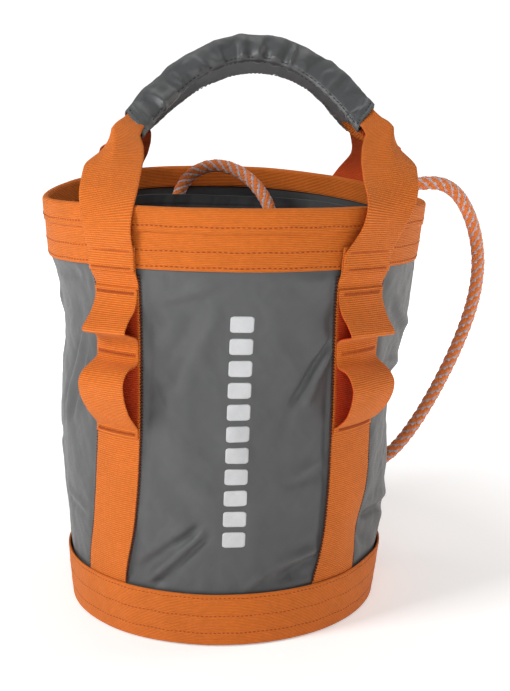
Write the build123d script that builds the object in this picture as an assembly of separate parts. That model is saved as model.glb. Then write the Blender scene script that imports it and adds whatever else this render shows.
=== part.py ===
from build123d import *
import math
import os

# Tool bucket organizer: a round, tapering bucket of coated fabric with webbing
# bands, four webbing straps with tool loops, two handles with grip sleeves, and
# a stored rope that bows out over the rim.
#
# Millimetres. +Z is up, the front faces -Y, and the origin is the centre of the
# underside of the base. Azimuths are in degrees from the front, positive to +X.
# An "offset" is a radial distance outside the outer surface of the wall.

# ---------------------------------------------------------------- dimensions
HEIGHT = 383.8
WALL_R_BOTTOM = 139.5     # outer radius of the wall at z = 0
WALL_R_TOP = 168.6        # outer radius of the wall at z = HEIGHT
WALL_T = 1.6
WALL_LOW_Z = 2.0
FABRIC_TOP_Z = HEIGHT - 0.6       # top of the wall and of the top band
SEAM_AZ = 179.93          # azimuth of the wall's edges, either side of the back

WEB_T = 1.6               # webbing thickness
WEB_W = 50.0              # webbing width
GAP = 0.15                # clearance between layers
WEB_OUT = GAP + WEB_T     # outer face of webbing lying on the wall
OVER_WEB = WEB_OUT + GAP  # inner face of a layer lying over that webbing

TOP_BAND_H = 51.0
TOP_ROW_Z = HEIGHT - 35.0
BOTTOM_BAND_Z = (4.2, 48.9)
BOTTOM_ROWS_Z = (28.9, 12.5)

BIND_T = 1.5
BIND_OUT_H = 19.5         # how far the rim binding comes down outside
BIND_IN_H = 20.0          # and inside
BIND_ROW_Z = HEIGHT - 13.8
BIND_FOLD_CLEAR = 0.5     # underside of the fold, below HEIGHT
BIND_CROWN = 0.7          # top of the fold, above HEIGHT
BIND_SHOULDER = 0.9       # drop from HEIGHT to where the fold is chamfered
BIND_CHAMFER = 0.6

THREAD_GAP = 0.05
THREAD_T = 0.4
BIND_THREAD_T = 0.3
THREAD_HALF_H = 0.4

BASE_R = 137.6
BASE_T = 1.6
BASE_GAP = 0.3            # clearance between the layers of the base
STIFFENER_R = 134.0
STIFFENER_T = 3.0
LINING_R = 136.8
LINING_T = 1.2
WELT_R = 1.6              # radius of the cord
WELT_OFFSET = 2.1
WELT_Z = 2.1

POCKET_Z = (110.0, 363.0)
POCKET_R = (137.8, 142.0) # outer radius at those two heights
POCKET_T = 1.4
POCKET_HALF_AZ = 62.0

STRIP_Z = (92.0, 296.0)
STRIP_OFFSETS = (0.1, 0.4)
STRIP_HALF_AZ = 4.0

STRAP_AZ = 40.0           # straps stand this far from the front and the back
STRAP_WRAP_R = 160.0      # radius at which a strap is WEB_W wide
STRAP_OUT = 4.0           # inner face of a strap over the top band
STRAP_TOP_Z = 352.0
STRAP_LOW_Z = 20.0

HINGE_Y = 131.1           # where the handle webbing leaves the band, front and back
HINGE_Z = 354.0

GRIP_HALF_W = 14.0
GRIP_HALF_T = 4.6
GRIP_WALL = 1.2

ROPE_R = 6.0
EYELET_Z = 85.0
EYELET_AZ = 120.0         # rope outlet, back right

os.makedirs("parts", exist_ok=True)


# ------------------------------------------------------------------- helpers
def wall_r(z):
    return WALL_R_BOTTOM + (WALL_R_TOP - WALL_R_BOTTOM) * z / HEIGHT


def polar(radius, azimuth, z):
    angle = math.radians(azimuth)
    return Vector(radius * math.sin(angle), -radius * math.cos(angle), z)


def square_to(vector, direction):
    """Unit vector along the part of vector that is square to direction."""
    return (vector - direction * vector.dot(direction)).normalized()


def save(name, *solids):
    shape = solids[0] if len(solids) == 1 else Compound(children=list(solids))
    export_step(shape, "parts/" + name + ".step")


def spun(profile, az_from=0.0, az_to=360.0):
    """Closed profile of (radius, z) points, turned about Z."""
    points = [polar(radius, az_from, z) for radius, z in profile]
    face = Face(Wire.make_polygon(points, close=True))
    return Solid.revolve(face, az_to - az_from, Axis.Z)


def spun_on_wall(profile, az_from=0.0, az_to=360.0):
    """Closed profile of (offset, z) points, turned about Z."""
    return spun([(wall_r(z) + offset, z) for offset, z in profile], az_from, az_to)


def layer(low, top, inner, outer, az_from=0.0, az_to=360.0):
    """Conical layer between two heights and two offsets."""
    profile = [(inner, low), (outer, low), (outer, top), (inner, top)]
    return spun_on_wall(profile, az_from, az_to)


def stitch_row(z, surface, thickness=THREAD_T):
    """Thread round the bag, lying on the surface at that offset."""
    inner = surface + THREAD_GAP
    return layer(z - THREAD_HALF_H, z + THREAD_HALF_H, inner, inner + thickness)


def triangle_solid(triangles):
    return Solid(Shell([Face(Wire.make_polygon(t, close=True)) for t in triangles]))


def between(ring_a, ring_b):
    """Triangles joining two rings of equal size."""
    triangles = []
    for i in range(len(ring_a)):
        j = (i + 1) % len(ring_a)
        triangles.append((ring_a[i], ring_a[j], ring_b[j]))
        triangles.append((ring_a[i], ring_b[j], ring_b[i]))
    return triangles


def skin(rings):
    """Solid through rings of equal size, with fan caps at both ends."""
    triangles = []
    for ring_a, ring_b in zip(rings, rings[1:]):
        triangles += between(ring_a, ring_b)
    first, last = rings[0], rings[-1]
    for i in range(1, len(first) - 1):
        triangles.append((first[0], first[i + 1], first[i]))
        triangles.append((last[0], last[i], last[i + 1]))
    return triangle_solid(triangles)


def sleeve_skin(outer, inner):
    """Open-ended sleeve between outer rings and inner rings."""
    triangles = []
    for ring_a, ring_b in zip(outer, outer[1:]):
        triangles += between(ring_a, ring_b)
    for ring_a, ring_b in zip(inner, inner[1:]):
        triangles += between(ring_b, ring_a)
    triangles += between(inner[0], outer[0])
    triangles += between(outer[-1], inner[-1])
    return triangle_solid(triangles)


def catmull_rom(keys, t):
    """Values at t, 0 to len - 1, on a spline through equally spaced tuples."""
    last = len(keys) - 1
    i = min(int(t), last - 1)
    f = t - i
    near = [keys[max(0, min(last, i + step))] for step in (-1, 0, 1, 2)]
    return tuple(
        0.5 * (2 * b + (c - a) * f + (2 * a - 5 * b + 4 * c - d) * f ** 2
               + (3 * b - a - 3 * c + d) * f ** 3)
        for a, b, c, d in zip(*near)
    )


# --------------------------------------------------------------- rope outlet
# The outlet's axis is square to the sloping wall and points outward.
slope = math.atan((WALL_R_TOP - WALL_R_BOTTOM) / HEIGHT)
outlet_dir = polar(math.cos(slope), EYELET_AZ, -math.sin(slope)).normalized()
outlet_pos = polar(wall_r(EYELET_Z), EYELET_AZ, EYELET_Z)


def on_outlet(distance):
    """Point on the outlet axis; distance 0 is the wall's outer surface."""
    return outlet_pos + outlet_dir * distance


def outlet_disc(radius, start, end):
    return Solid.make_cylinder(radius, end - start, Plane(origin=on_outlet(start), z_dir=outlet_dir))


def outlet_ring(outer_r, inner_r, start, end):
    ring = outlet_disc(outer_r, start, end) - outlet_disc(inner_r, start, end)
    return ring.solids()[0]


# ------------------------------------------------------------------ bag body
def wall_panel():
    """One rolled sheet, its edges a hairline apart at the back."""
    sheet = layer(WALL_LOW_Z, FABRIC_TOP_Z, -WALL_T, 0.0, -SEAM_AZ, SEAM_AZ)
    return (sheet - outlet_disc(8.4, -6.0, 6.0)).solids()[0]


def rim_binding():
    """Webbing folded over the rim."""
    inside, outside = -WALL_T - GAP, OVER_WEB
    inner_face, outer_face = inside - BIND_T, outside + BIND_T
    low_out = HEIGHT - BIND_OUT_H
    low_in = HEIGHT - BIND_IN_H
    under = HEIGHT - BIND_FOLD_CLEAR
    shoulder = HEIGHT - BIND_SHOULDER
    crown = HEIGHT + BIND_CROWN
    return spun([
        (wall_r(low_out) + outside, low_out),
        (wall_r(low_out) + outer_face, low_out),
        (WALL_R_TOP + outer_face, shoulder),
        (WALL_R_TOP + outer_face - BIND_CHAMFER, crown),
        (WALL_R_TOP + inner_face + BIND_CHAMFER, crown),
        (WALL_R_TOP + inner_face, shoulder),
        (wall_r(low_in) + inner_face, low_in),
        (wall_r(low_in) + inside, low_in),
        (wall_r(under) + inside, under),
        (wall_r(under) + outside, under),
    ])


def back_pocket():
    """Panel inside the back wall, free along its top edge."""
    low, top = POCKET_Z
    low_r, top_r = POCKET_R
    return spun(
        [(low_r - POCKET_T, low), (low_r, low), (top_r, top), (top_r - POCKET_T, top)],
        180.0 - POCKET_HALF_AZ,
        180.0 + POCKET_HALF_AZ,
    )


save("wall_panel", wall_panel())
save("top_band", layer(HEIGHT - TOP_BAND_H, FABRIC_TOP_Z, GAP, WEB_OUT))
save("bottom_band", layer(*BOTTOM_BAND_Z, OVER_WEB, OVER_WEB + WEB_T))
save("rim_binding", rim_binding())
save("top_band_stitching", stitch_row(TOP_ROW_Z, WEB_OUT))
save("binding_stitching", stitch_row(BIND_ROW_Z, OVER_WEB + BIND_T, BIND_THREAD_T))
save("bottom_band_stitching", *[stitch_row(z, OVER_WEB + WEB_T) for z in BOTTOM_ROWS_Z])

# Base: fabric disc, stiffener board and lining, with a corded welt at the edge.
stiffener_z = BASE_T + BASE_GAP
lining_z = stiffener_z + STIFFENER_T + BASE_GAP
save("base_panel", Solid.make_cylinder(BASE_R, BASE_T, Plane.XY))
save("base_stiffener", Solid.make_cylinder(STIFFENER_R, STIFFENER_T, Plane.XY.offset(stiffener_z)))
save("base_lining", Solid.make_cylinder(LINING_R, LINING_T, Plane.XY.offset(lining_z)))
save("base_welt", Solid.make_torus(WALL_R_BOTTOM + WELT_OFFSET, WELT_R, Plane.XY.offset(WELT_Z)))

save("back_pocket_panel", back_pocket())
save("front_reflective_strip", layer(*STRIP_Z, *STRIP_OFFSETS, -STRIP_HALF_AZ, STRIP_HALF_AZ))


# ----------------------------------------------------- straps and tool loops
# Strap section, (offset, z): flat on the wall, stepping out over the top band.
STRAP_PROFILE = [
    (GAP, STRAP_LOW_Z), (WEB_OUT, STRAP_LOW_Z),
    (WEB_OUT, 316.0), (STRAP_OUT + WEB_T, 329.0),
    (STRAP_OUT + WEB_T, STRAP_TOP_Z), (STRAP_OUT, STRAP_TOP_Z),
    (STRAP_OUT, 330.0), (GAP, 317.0),
]

# Centre line of the looped webbing, (offset, z), from the top down.
LOOP_LINE = [
    (2.9, 315.0), (2.9, 309.5), (7.0, 304.0), (13.5, 296.0), (19.0, 289.0), (22.5, 284.0),
    (21.5, 280.3), (13.0, 277.2), (6.0, 274.3), (2.9, 269.5), (2.9, 254.5), (6.5, 250.6),
    (13.0, 248.0), (19.0, 244.0), (22.8, 237.5), (23.0, 230.5), (20.5, 221.0), (14.5, 209.5),
    (7.5, 199.0), (2.9, 192.5), (2.9, 186.0),
]
LOOP_HALF_W = WEB_W / 2 - 1.0

# Bartacks: heights of the lower edges, (inner, outer) offsets and half widths.
TACK_H = 3.0
LOOP_TACKS_Z = (310.6, 257.6, 187.4)
LOOP_TACK_OFFSETS = (3.85, 4.3)
LOOP_TACK_HALF_W = 22.0
HEAD_TACKS_Z = (334.0, 344.0)
HEAD_TACK_OFFSETS = (STRAP_OUT + WEB_T + 0.1, STRAP_OUT + WEB_T + 0.5)
HEAD_TACK_HALF_W = 20.0

STRAP_PLACES = {
    "front_left": -STRAP_AZ,
    "front_right": STRAP_AZ,
    "back_left": -180.0 + STRAP_AZ,
    "back_right": 180.0 - STRAP_AZ,
}


def strap(azimuth):
    half_az = math.degrees(WEB_W / 2 / STRAP_WRAP_R)
    return spun_on_wall(STRAP_PROFILE, azimuth - half_az, azimuth + half_az)


def radial_prism(outline, azimuth, half_width):
    """Prism of an (offset, z) outline, centred on the radial plane at azimuth."""
    tangent = polar(1.0, azimuth + 90.0, 0.0)
    points = [polar(wall_r(z) + offset, azimuth, z) - tangent * half_width
              for offset, z in outline]
    face = Face(Wire.make_polygon(points, close=True))
    return Solid.extrude(face, tangent * (2 * half_width))


def thick_line(points, half_t):
    """Outline of a flat open line thickened to both sides."""
    left, right = [], []
    for i, (x, y) in enumerate(points):
        before_x, before_y = points[max(0, i - 1)]
        after_x, after_y = points[min(len(points) - 1, i + 1)]
        span = math.hypot(after_x - before_x, after_y - before_y)
        side_x = -(after_y - before_y) / span * half_t
        side_y = (after_x - before_x) / span * half_t
        left.append((x + side_x, y + side_y))
        right.append((x - side_x, y - side_y))
    return left + right[::-1]


def bartack(low, offsets, azimuth, half_width):
    inner, outer = offsets
    top = low + TACK_H
    outline = [(inner, low), (outer, low), (outer, top), (inner, top)]
    return radial_prism(outline, azimuth, half_width)


loop_tacks = []
head_tacks = []
for place, azimuth in STRAP_PLACES.items():
    save(place + "_strap", strap(azimuth))
    loops = radial_prism(thick_line(LOOP_LINE, WEB_T / 2), azimuth, LOOP_HALF_W)
    save(place + "_tool_loops", loops)
    for z in LOOP_TACKS_Z:
        loop_tacks.append(bartack(z, LOOP_TACK_OFFSETS, azimuth, LOOP_TACK_HALF_W))
    for z in HEAD_TACKS_Z:
        head_tacks.append(bartack(z, HEAD_TACK_OFFSETS, azimuth, HEAD_TACK_HALF_W))
save("loop_bartacks", *loop_tacks)
save("strap_head_bartacks", *head_tacks)


# ------------------------------------------------------------------- handles
# Right half of a handle, from the hinge to the apex, in the handle's plane:
# centre (x, up the plane, out of the plane), width direction in the same axes,
# half width, half thickness. Heights are scaled to each handle's own apex.
KEYS_APEX = 205.0
HANDLE_KEYS = [
    (110.0, 0.0, 0.0, 0.766, 0.369, -0.527, 25.0, 0.8),
    (112.5, 11.0, 12.5, 0.80, 0.36, -0.48, 25.0, 0.8),
    (114.5, 26.0, 21.0, 0.88, 0.28, -0.38, 24.5, 0.8),
    (114.5, 48.0, 22.5, 0.95, 0.18, -0.20, 23.5, 0.8),
    (112.5, 73.0, 19.0, 0.97, 0.20, -0.05, 20.0, 1.1),
    (107.5, 96.0, 11.5, 0.93, 0.36, 0.0, 13.0, 1.3),
    (97.5, 121.0, 5.0, 0.83, 0.56, 0.0, 10.8, 1.4),
    (81.0, 150.0, 2.0, 0.66, 0.75, 0.0, 10.8, 1.4),
    (57.5, 179.0, 0.6, 0.43, 0.90, 0.0, 10.8, 1.4),
    (30.0, 198.5, 0.1, 0.18, 0.98, 0.0, 10.8, 1.4),
    (0.0, KEYS_APEX, 0.0, 0.0, 1.0, 0.0, 10.8, 1.4),
]
APEX_T = len(HANDLE_KEYS) - 1     # spline parameter at the apex
GRIP_REACH = 4.25         # parameter from the apex to each end of the sleeve
SEAM_REACH = 4.0
SEAM_DROP = 0.9           # centre of the seam thread beyond the sleeve's edge
SEAM_HALF_W = 0.35
SEAM_HALF_T = 0.7


def handle_stations(apex, apex_y, side, reach, count):
    """(centre, width direction, normal, half width, half thickness) along a handle.

    side is -1 for the front handle and +1 for the back one. apex is the length
    up the plane, apex_y the apex's distance from y = 0 on the hinge's side.
    Stations run from right to left, as far as reach either side of the apex.
    """
    lean = math.asin((HINGE_Y - apex_y) / apex)
    up = Vector(0.0, -side * math.sin(lean), math.cos(lean))
    out = Vector(0.0, side * math.cos(lean), math.sin(lean))
    hinge = Vector(0.0, side * HINGE_Y, HINGE_Z)

    scale = apex / KEYS_APEX
    right = [(x, height * scale, *rest) for x, height, *rest in HANDLE_KEYS]
    left = [(-x, height, bulge, -width_x, *rest)
            for x, height, bulge, width_x, *rest in right[:-1]]
    keys = right + left[::-1]

    def direction(x, along_up, along_out):
        return Vector(x, 0.0, 0.0) + up * along_up + out * along_out

    stations = []
    for i in range(count):
        t = APEX_T - reach + 2 * reach * i / (count - 1)
        key = catmull_rom(keys, t)
        before = catmull_rom(keys, max(0.0, t - 0.05))
        after = catmull_rom(keys, min(2.0 * APEX_T, t + 0.05))
        path = (direction(*after[:3]) - direction(*before[:3])).normalized()
        width = square_to(direction(*key[3:6]), path)
        normal = width.cross(path).normalized()
        if normal.Y * side < 0:
            normal = normal * -1.0
        stations.append((hinge + direction(*key[:3]), width, normal, key[6], key[7]))
    return stations


def flat_ring(centre, width, normal, half_w, half_t):
    """Rectangular section."""
    corners = ((1, 1), (1, -1), (-1, -1), (-1, 1))
    return [centre + width * (a * half_w) + normal * (b * half_t) for a, b in corners]


def oval_ring(centre, width, normal, half_w, half_t, sides=12):
    """Flattened, square-shouldered oval section."""
    ring = []
    for i in range(sides):
        angle = 2 * math.pi * i / sides
        c, s = math.cos(angle), math.sin(angle)
        across_w = half_w * math.copysign(abs(c) ** 0.8, c)
        across_t = half_t * math.copysign(abs(s) ** 0.6, s)
        ring.append(centre + width * across_w + normal * across_t)
    return ring


def grip_sleeve(stations):
    outer = [oval_ring(*station[:3], GRIP_HALF_W, GRIP_HALF_T) for station in stations]
    inner = [oval_ring(*station[:3], GRIP_HALF_W - GRIP_WALL, GRIP_HALF_T - GRIP_WALL)
             for station in stations]
    return sleeve_skin(outer, inner)


def grip_seam(stations):
    """Flat row of thread along the sleeve's lower edge."""
    rings = []
    for centre, width, normal, *_ in stations:
        down = width if width.Z < 0 else width * -1.0
        edge = centre + down * (GRIP_HALF_W + SEAM_DROP)
        rings.append(flat_ring(edge, down, normal, SEAM_HALF_W, SEAM_HALF_T))
    return skin(rings)


for name, *shape in (("front", 189.5, 14.5, -1), ("back", 179.0, 16.5, 1)):
    webbing = [flat_ring(*station) for station in handle_stations(*shape, APEX_T, 41)]
    save(name + "_handle_strap", skin(webbing))
    save(name + "_grip_sleeve", grip_sleeve(handle_stations(*shape, GRIP_REACH, 19)))
    save(name + "_grip_seam", grip_seam(handle_stations(*shape, SEAM_REACH, 17)))


# ---------------------------------------------------------------------- rope
RIM_AZ = 104.9            # where the rope crosses the rim
RIM_ROPE_Z = 392.4
CUTTER_R = 11.0
CUTTER_LENGTH = 8.0
rim_dir = polar(1.0, RIM_AZ, 0.0)

# The bow outside the bag, from just outside the rim to the outlet.
BOW = [
    polar(177.2, RIM_AZ, RIM_ROPE_Z), polar(184.0, RIM_AZ, RIM_ROPE_Z),
    polar(193.0, RIM_AZ, 391.6),
    Vector(199.0, 52.0, 387.5), Vector(213.5, 54.5, 375.0), Vector(227.5, 57.5, 350.0),
    Vector(236.5, 60.0, 320.0), Vector(240.0, 62.5, 292.0), Vector(238.5, 65.0, 262.0),
    Vector(230.5, 68.0, 226.0), Vector(215.5, 71.5, 186.0), Vector(196.0, 75.0, 145.0),
    Vector(176.0, 79.0, 112.0), Vector(160.5, 84.5, 93.0),
    on_outlet(17.0), on_outlet(10.0), on_outlet(4.0),
]


def smooth(points):
    """Clamped uniform cubic B-spline, sampled twice per span."""
    controls = [points[0] * 2 - points[1], *points, points[-1] * 2 - points[-2]]
    samples = []
    for a, b, c, d in zip(controls, controls[1:], controls[2:], controls[3:]):
        for f in (0.0, 0.5):
            samples.append(
                a * ((1 - f) ** 3 / 6)
                + b * ((3 * f ** 3 - 6 * f ** 2 + 4) / 6)
                + c * ((-3 * f ** 3 + 3 * f ** 2 + 3 * f + 1) / 6)
                + d * (f ** 3 / 6)
            )
    return samples + [points[-1]]


def end_cut(rope, origin, direction):
    """The rope with its end cut square by a cylinder standing on origin."""
    plane = Plane(origin=origin, z_dir=direction)
    return (rope - Solid.make_cylinder(CUTTER_R, CUTTER_LENGTH, plane)).solids()[0]


def outer_bow():
    """Round rope, its ends cut back to clear the neighbouring lengths."""
    path = Edge.make_spline(smooth(BOW), tangents=[rim_dir, outlet_dir * -1.0])
    disc = Face(Wire.make_circle(ROPE_R, Plane(origin=path @ 0, z_dir=path % 0)))
    rope = Solid.sweep(disc, path)
    rope = end_cut(rope, polar(171.8, RIM_AZ, RIM_ROPE_Z), rim_dir)
    return end_cut(rope, on_outlet(-1.2), outlet_dir)


def stored_points():
    """Control points of the rope inside the bag."""
    # Over the rim and down the right wall
    points = [
        polar(175.0, RIM_AZ, RIM_ROPE_Z), polar(171.0, RIM_AZ, RIM_ROPE_Z),
        polar(163.0, RIM_AZ, RIM_ROPE_Z), polar(153.5, RIM_AZ, 388.0),
        polar(151.0, RIM_AZ, 374.0), polar(151.5, RIM_AZ, 355.0),
    ]
    for z in (325, 280, 230, 180, 130, 90, 60):
        points.append(polar(wall_r(z) - WALL_T - 9.5, RIM_AZ - 0.02 * (325 - z), z))
    points += [polar(129.5, 98.0, 38.0), polar(127.0, 92.0, 22.0), polar(124.5, 82.0, 14.8)]
    # Round the floor by the front and the left, lifting towards the end
    for i in range(1, 15):
        points.append(polar(122.5, 82.0 - 18.2 * i, 14.8 + 0.25 * i + 1.6 * max(0, i - 10)))
    # Up inside the back
    points += [polar(120.0, 175.0, 27.0), polar(118.0, 167.0, 45.0), polar(116.0, 164.0, 75.0)]
    for z in (115, 160, 205, 250, 300):
        points.append(polar(116.0 - (z - 75) * 0.06, 164.0 - (z - 75) * 0.008, z))
    # An arc in the mouth, then down between the pocket panel and the wall
    points += [
        Vector(30.0, 93.5, 340.0), Vector(21.0, 101.0, 369.0), Vector(4.0, 116.0, 389.0),
        Vector(-15.0, 129.0, 397.0), Vector(-32.0, 139.5, 389.0), Vector(-43.5, 144.6, 368.0),
        Vector(-46.8, 143.8, 342.0), Vector(-46.8, 142.6, 318.0),
    ]
    return points


def stored_rope(sides=10):
    """Faceted rope, its first end square to the rim crossing."""
    line = smooth(stored_points())
    rings = []
    normal = Vector(0.0, 0.0, 1.0)
    for i, centre in enumerate(line):
        if i == 0:
            path = rim_dir * -1.0
        else:
            path = (line[min(i + 1, len(line) - 1)] - line[i - 1]).normalized()
        # Carrying the normal along keeps the facets from twisting
        normal = square_to(normal, path)
        binormal = path.cross(normal)
        ring = []
        for k in range(sides):
            angle = 2 * math.pi * k / sides
            ring.append(centre + normal * (ROPE_R * math.cos(angle))
                        + binormal * (ROPE_R * math.sin(angle)))
        rings.append(ring)
    return skin(rings)


def stopper_knot():
    """Rope end through the outlet, with a ball knot inside the wall."""
    plane = Plane(origin=on_outlet(-14.0), z_dir=outlet_dir)
    shank = Solid.make_cylinder(ROPE_R, 17.0, plane)
    return (shank + Solid.make_sphere(10.0, plane)).solids()[0]


def eyelet():
    """Flange outside the wall and barrel through it."""
    flange = outlet_ring(12.5, 7.0, 0.6, 1.9)
    barrel = outlet_ring(8.0, 7.0, -2.6, 1.0)
    return (flange + barrel).solids()[0]


save("rope_outer_bow", outer_bow())
save("rope_stored_length", stored_rope())
save("rope_stopper_knot", stopper_knot())
save("rope_eyelet", eyelet())
save("rope_eyelet_washer", outlet_ring(12.0, 8.15, -3.2, -2.2))
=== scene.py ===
"""A tapered round tool bucket: grey coated wall, orange webbing bands, straps and tool loops,
two padded handles and a braided rope, stored inside with a bow hanging out on the right.

The bucket stands on z = 0 around the Z axis. Its front faces -Y and its right side is +X.
Lengths are in millimetres and become metres when a mesh is made. Angles around the wall are
degrees from the front, growing towards +X. "off" is a distance outwards from the wall.
"""
import math
from collections import namedtuple
from functools import cached_property

import bpy
import numpy as np
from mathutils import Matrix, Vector


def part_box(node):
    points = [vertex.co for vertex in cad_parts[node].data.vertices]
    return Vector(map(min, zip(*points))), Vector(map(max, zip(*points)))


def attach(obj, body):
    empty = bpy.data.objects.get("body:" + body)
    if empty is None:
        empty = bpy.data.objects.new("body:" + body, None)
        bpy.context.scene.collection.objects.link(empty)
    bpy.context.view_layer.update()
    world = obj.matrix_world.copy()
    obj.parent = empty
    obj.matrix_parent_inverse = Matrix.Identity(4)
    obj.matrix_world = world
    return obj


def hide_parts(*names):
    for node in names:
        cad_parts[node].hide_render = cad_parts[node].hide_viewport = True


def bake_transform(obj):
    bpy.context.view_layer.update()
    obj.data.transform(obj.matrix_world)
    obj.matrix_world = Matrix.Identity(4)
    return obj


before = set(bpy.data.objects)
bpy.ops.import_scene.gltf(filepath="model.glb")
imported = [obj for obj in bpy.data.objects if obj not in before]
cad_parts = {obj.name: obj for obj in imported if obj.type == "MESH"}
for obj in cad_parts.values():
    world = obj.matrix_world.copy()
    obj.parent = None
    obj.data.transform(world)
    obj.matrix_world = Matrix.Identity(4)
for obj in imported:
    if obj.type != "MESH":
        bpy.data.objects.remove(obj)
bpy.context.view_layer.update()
scene = bpy.context.scene


# ------------------------------------------------------------- sizes from the frame
def box_mm(node):
    lo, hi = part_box(node)
    return np.array(lo) * 1000.0, np.array(hi) * 1000.0


def extent(node):
    """Greatest x, lowest z and highest z of a CAD piece."""
    lo, hi = box_mm(node)
    return hi[0], lo[2], hi[2]


TOP_X, TOP_Z0, TOP_Z1 = extent("top_band")
BOTTOM_X, BOTTOM_Z0, BOTTOM_Z1 = extent("bottom_band")
_, RIM_Z0, RIM_Z1 = extent("rim_binding")
_, WALL_Z0, WALL_Z1 = extent("wall_panel")
_, STRIP_Z0, STRIP_Z1 = extent("front_reflective_strip")
_, POCKET_Z0, POCKET_Z1 = extent("back_pocket_panel")

TOP_BAND_OFF = 1.75     # outer faces of the two bands, off the wall
BOTTOM_BAND_OFF = 3.5
WALL_TOP_R = TOP_X - TOP_BAND_OFF
SLOPE = (WALL_TOP_R - (BOTTOM_X - BOTTOM_BAND_OFF)) / (TOP_Z1 - BOTTOM_Z1)
LEAN = 14.0 / 383.8     # shift to +X per mm of height
HALF_WEB = 25.0         # half the width of the strap webbing
HINGE_X, HINGE_Y, HINGE_Z = 110.0, 131.1, 354.0     # handle roots

# Arc length per degree at the mean radii of the wall, the bands and the rim binding.
WALL_ARC, BAND_ARC, RIM_ARC = (math.radians(radius) for radius in (155.0, 165.0, 168.0))


# ------------------------------------------------------------------ small functions
def wall_r(z):
    return WALL_TOP_R + SLOPE * (np.asarray(z, float) - TOP_Z1)


def smooth(start, end, x):
    share = np.clip((np.asarray(x, float) - start) / (end - start), 0.0, 1.0)
    return share * share * (3.0 - 2.0 * share)


def gauss(x, spread):
    return np.exp(-0.5 * (x / spread) ** 2)


def turn_from(centre, angle):
    """Signed turn from centre to angle, in degrees."""
    return (np.asarray(angle, float) - centre + 180.0) % 360.0 - 180.0


def steps(start, end, count):
    return np.linspace(start, end, count, endpoint=False)


def unit(vectors):
    return vectors / np.linalg.norm(vectors, axis=-1, keepdims=True)


def running_length(points):
    return np.append(0.0, np.cumsum(np.linalg.norm(np.diff(points, axis=0), axis=1)))


def closed_length(section):
    return running_length(np.vstack([section, section[:1]]))


def out_and_back(values):
    return np.concatenate([values, values[::-1], values[:1]])


def two_sided(first, second):
    """Join two point grids into one whose rows run out on the first, back on the second."""
    return np.concatenate([first, second[:, ::-1]], 1)


LATTICE = np.random.default_rng(20260).random((256, 256))


def noise(x, y, seed=0):
    """Value noise from 0 to 1."""
    x = np.asarray(x, float) + seed * 17.31
    y = np.asarray(y, float) + seed * 9.73
    col, row = np.floor(x).astype(int), np.floor(y).astype(int)
    ease_x, ease_y = (f * f * (3 - 2 * f) for f in (x - col, y - row))

    def along_row(step):
        line = (row + step) % 256
        return LATTICE[col % 256, line] * (1 - ease_x) + LATTICE[(col + 1) % 256, line] * ease_x

    return along_row(0) * (1 - ease_y) + along_row(1) * ease_y


def fractal(x, y, seed, octaves):
    """Layered noise around 0; each layer has twice the frequency and half the height."""
    layers = sum(0.5 ** k * (noise(x * 2 ** k, y * 2 ** k, seed + k) - 0.5)
                 for k in range(octaves))
    return layers / sum(0.5 ** k for k in range(octaves))


# -------------------------------------------------------- the way the soft bag sits
# Angle, height, spread in degrees, spread in mm, mm outwards.
SAGS = [
    (-95, 272, 28, 35, -8.0), (-90, 130, 30, 60, 3.0), (88, 190, 22, 32, -8.0),
    (90, 270, 25, 32, -1.0), (90, 85, 30, 25, 4.5), (0, 205, 30, 60, -2.0),
    (175, 200, 40, 70, -4.0), (59, 84, 8.5, 22, -10.0), (72, 100, 6, 12, -3.0),
    (-62, 300, 9, 16, -4.0), (-58, 215, 7, 50, -3.0), (57, 250, 8, 40, -3.5),
    (150, 120, 18, 40, 3.0), (-150, 250, 18, 40, -3.0),
]


def sag(angle, z):
    total = sum(depth * gauss(turn_from(centre, angle), wide) * gauss(z - height, tall)
                for centre, height, wide, tall, depth in SAGS)
    return total * smooth(0, 60, z) * (1 - smooth(318, 336, z))


def droop(angle):
    """How far the rim hangs down, mostly on the left and right sides."""
    return 8.0 * gauss(turn_from(-90, angle), 28.0) + 16.0 * gauss(turn_from(100, angle), 40.0)


def rim_wave(angle, z):
    rad = np.radians(angle)
    wave = (0.9 * np.sin(3 * rad + 0.6) + 0.6 * np.sin(5 * rad + 2.1)
            + 0.35 * np.sin(9 * rad + 0.3))
    return wave * smooth(255, 360, z)


def place(angle, z, off):
    """Points on the leaning, sagging wall."""
    angle, z, off = np.broadcast_arrays(*(np.asarray(v, float) for v in (angle, z, off)))
    radius = wall_r(z) + off + sag(angle, z) + rim_wave(angle, z)
    rad = np.radians(angle)
    low_z = z - droop(angle) * smooth(200, 325, z)
    return np.stack([radius * np.sin(rad) + LEAN * low_z, -radius * np.cos(rad), low_z], -1)


def warp(points):
    """The same lean and droop for points given as x, y, z."""
    x, y, z = np.moveaxis(np.asarray(points, float), -1, 0)
    low_z = z - droop(np.degrees(np.arctan2(x, -y))) * smooth(200, 325, z)
    return np.stack([x + LEAN * low_z, y, low_z], -1)


# ----------------------------------------------------------------- strap centre lines
STRAP_Z = [48, 60, 75, 100, 140, 200, 260, 300, 330]
PATH_Z = np.arange(401.0)


class Strap:
    """One upright strap. Seed varies its noise, stretch its width and skew its loops."""

    def __init__(self, name, seed, stretch, skew, angles):
        self.name, self.seed, self.stretch, self.skew = name, seed, stretch, skew
        kernel = gauss(np.arange(-24, 25), 9.0)
        line = np.pad(np.interp(PATH_Z, STRAP_Z, angles), 24, mode="edge")
        self.path = np.convolve(line, kernel / kernel.sum(), "valid")

    def angle(self, z, across=0.0):
        """Angle at height z, a distance across from the centre line."""
        return np.interp(z, PATH_Z, self.path) + np.degrees(across / wall_r(z))


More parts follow.
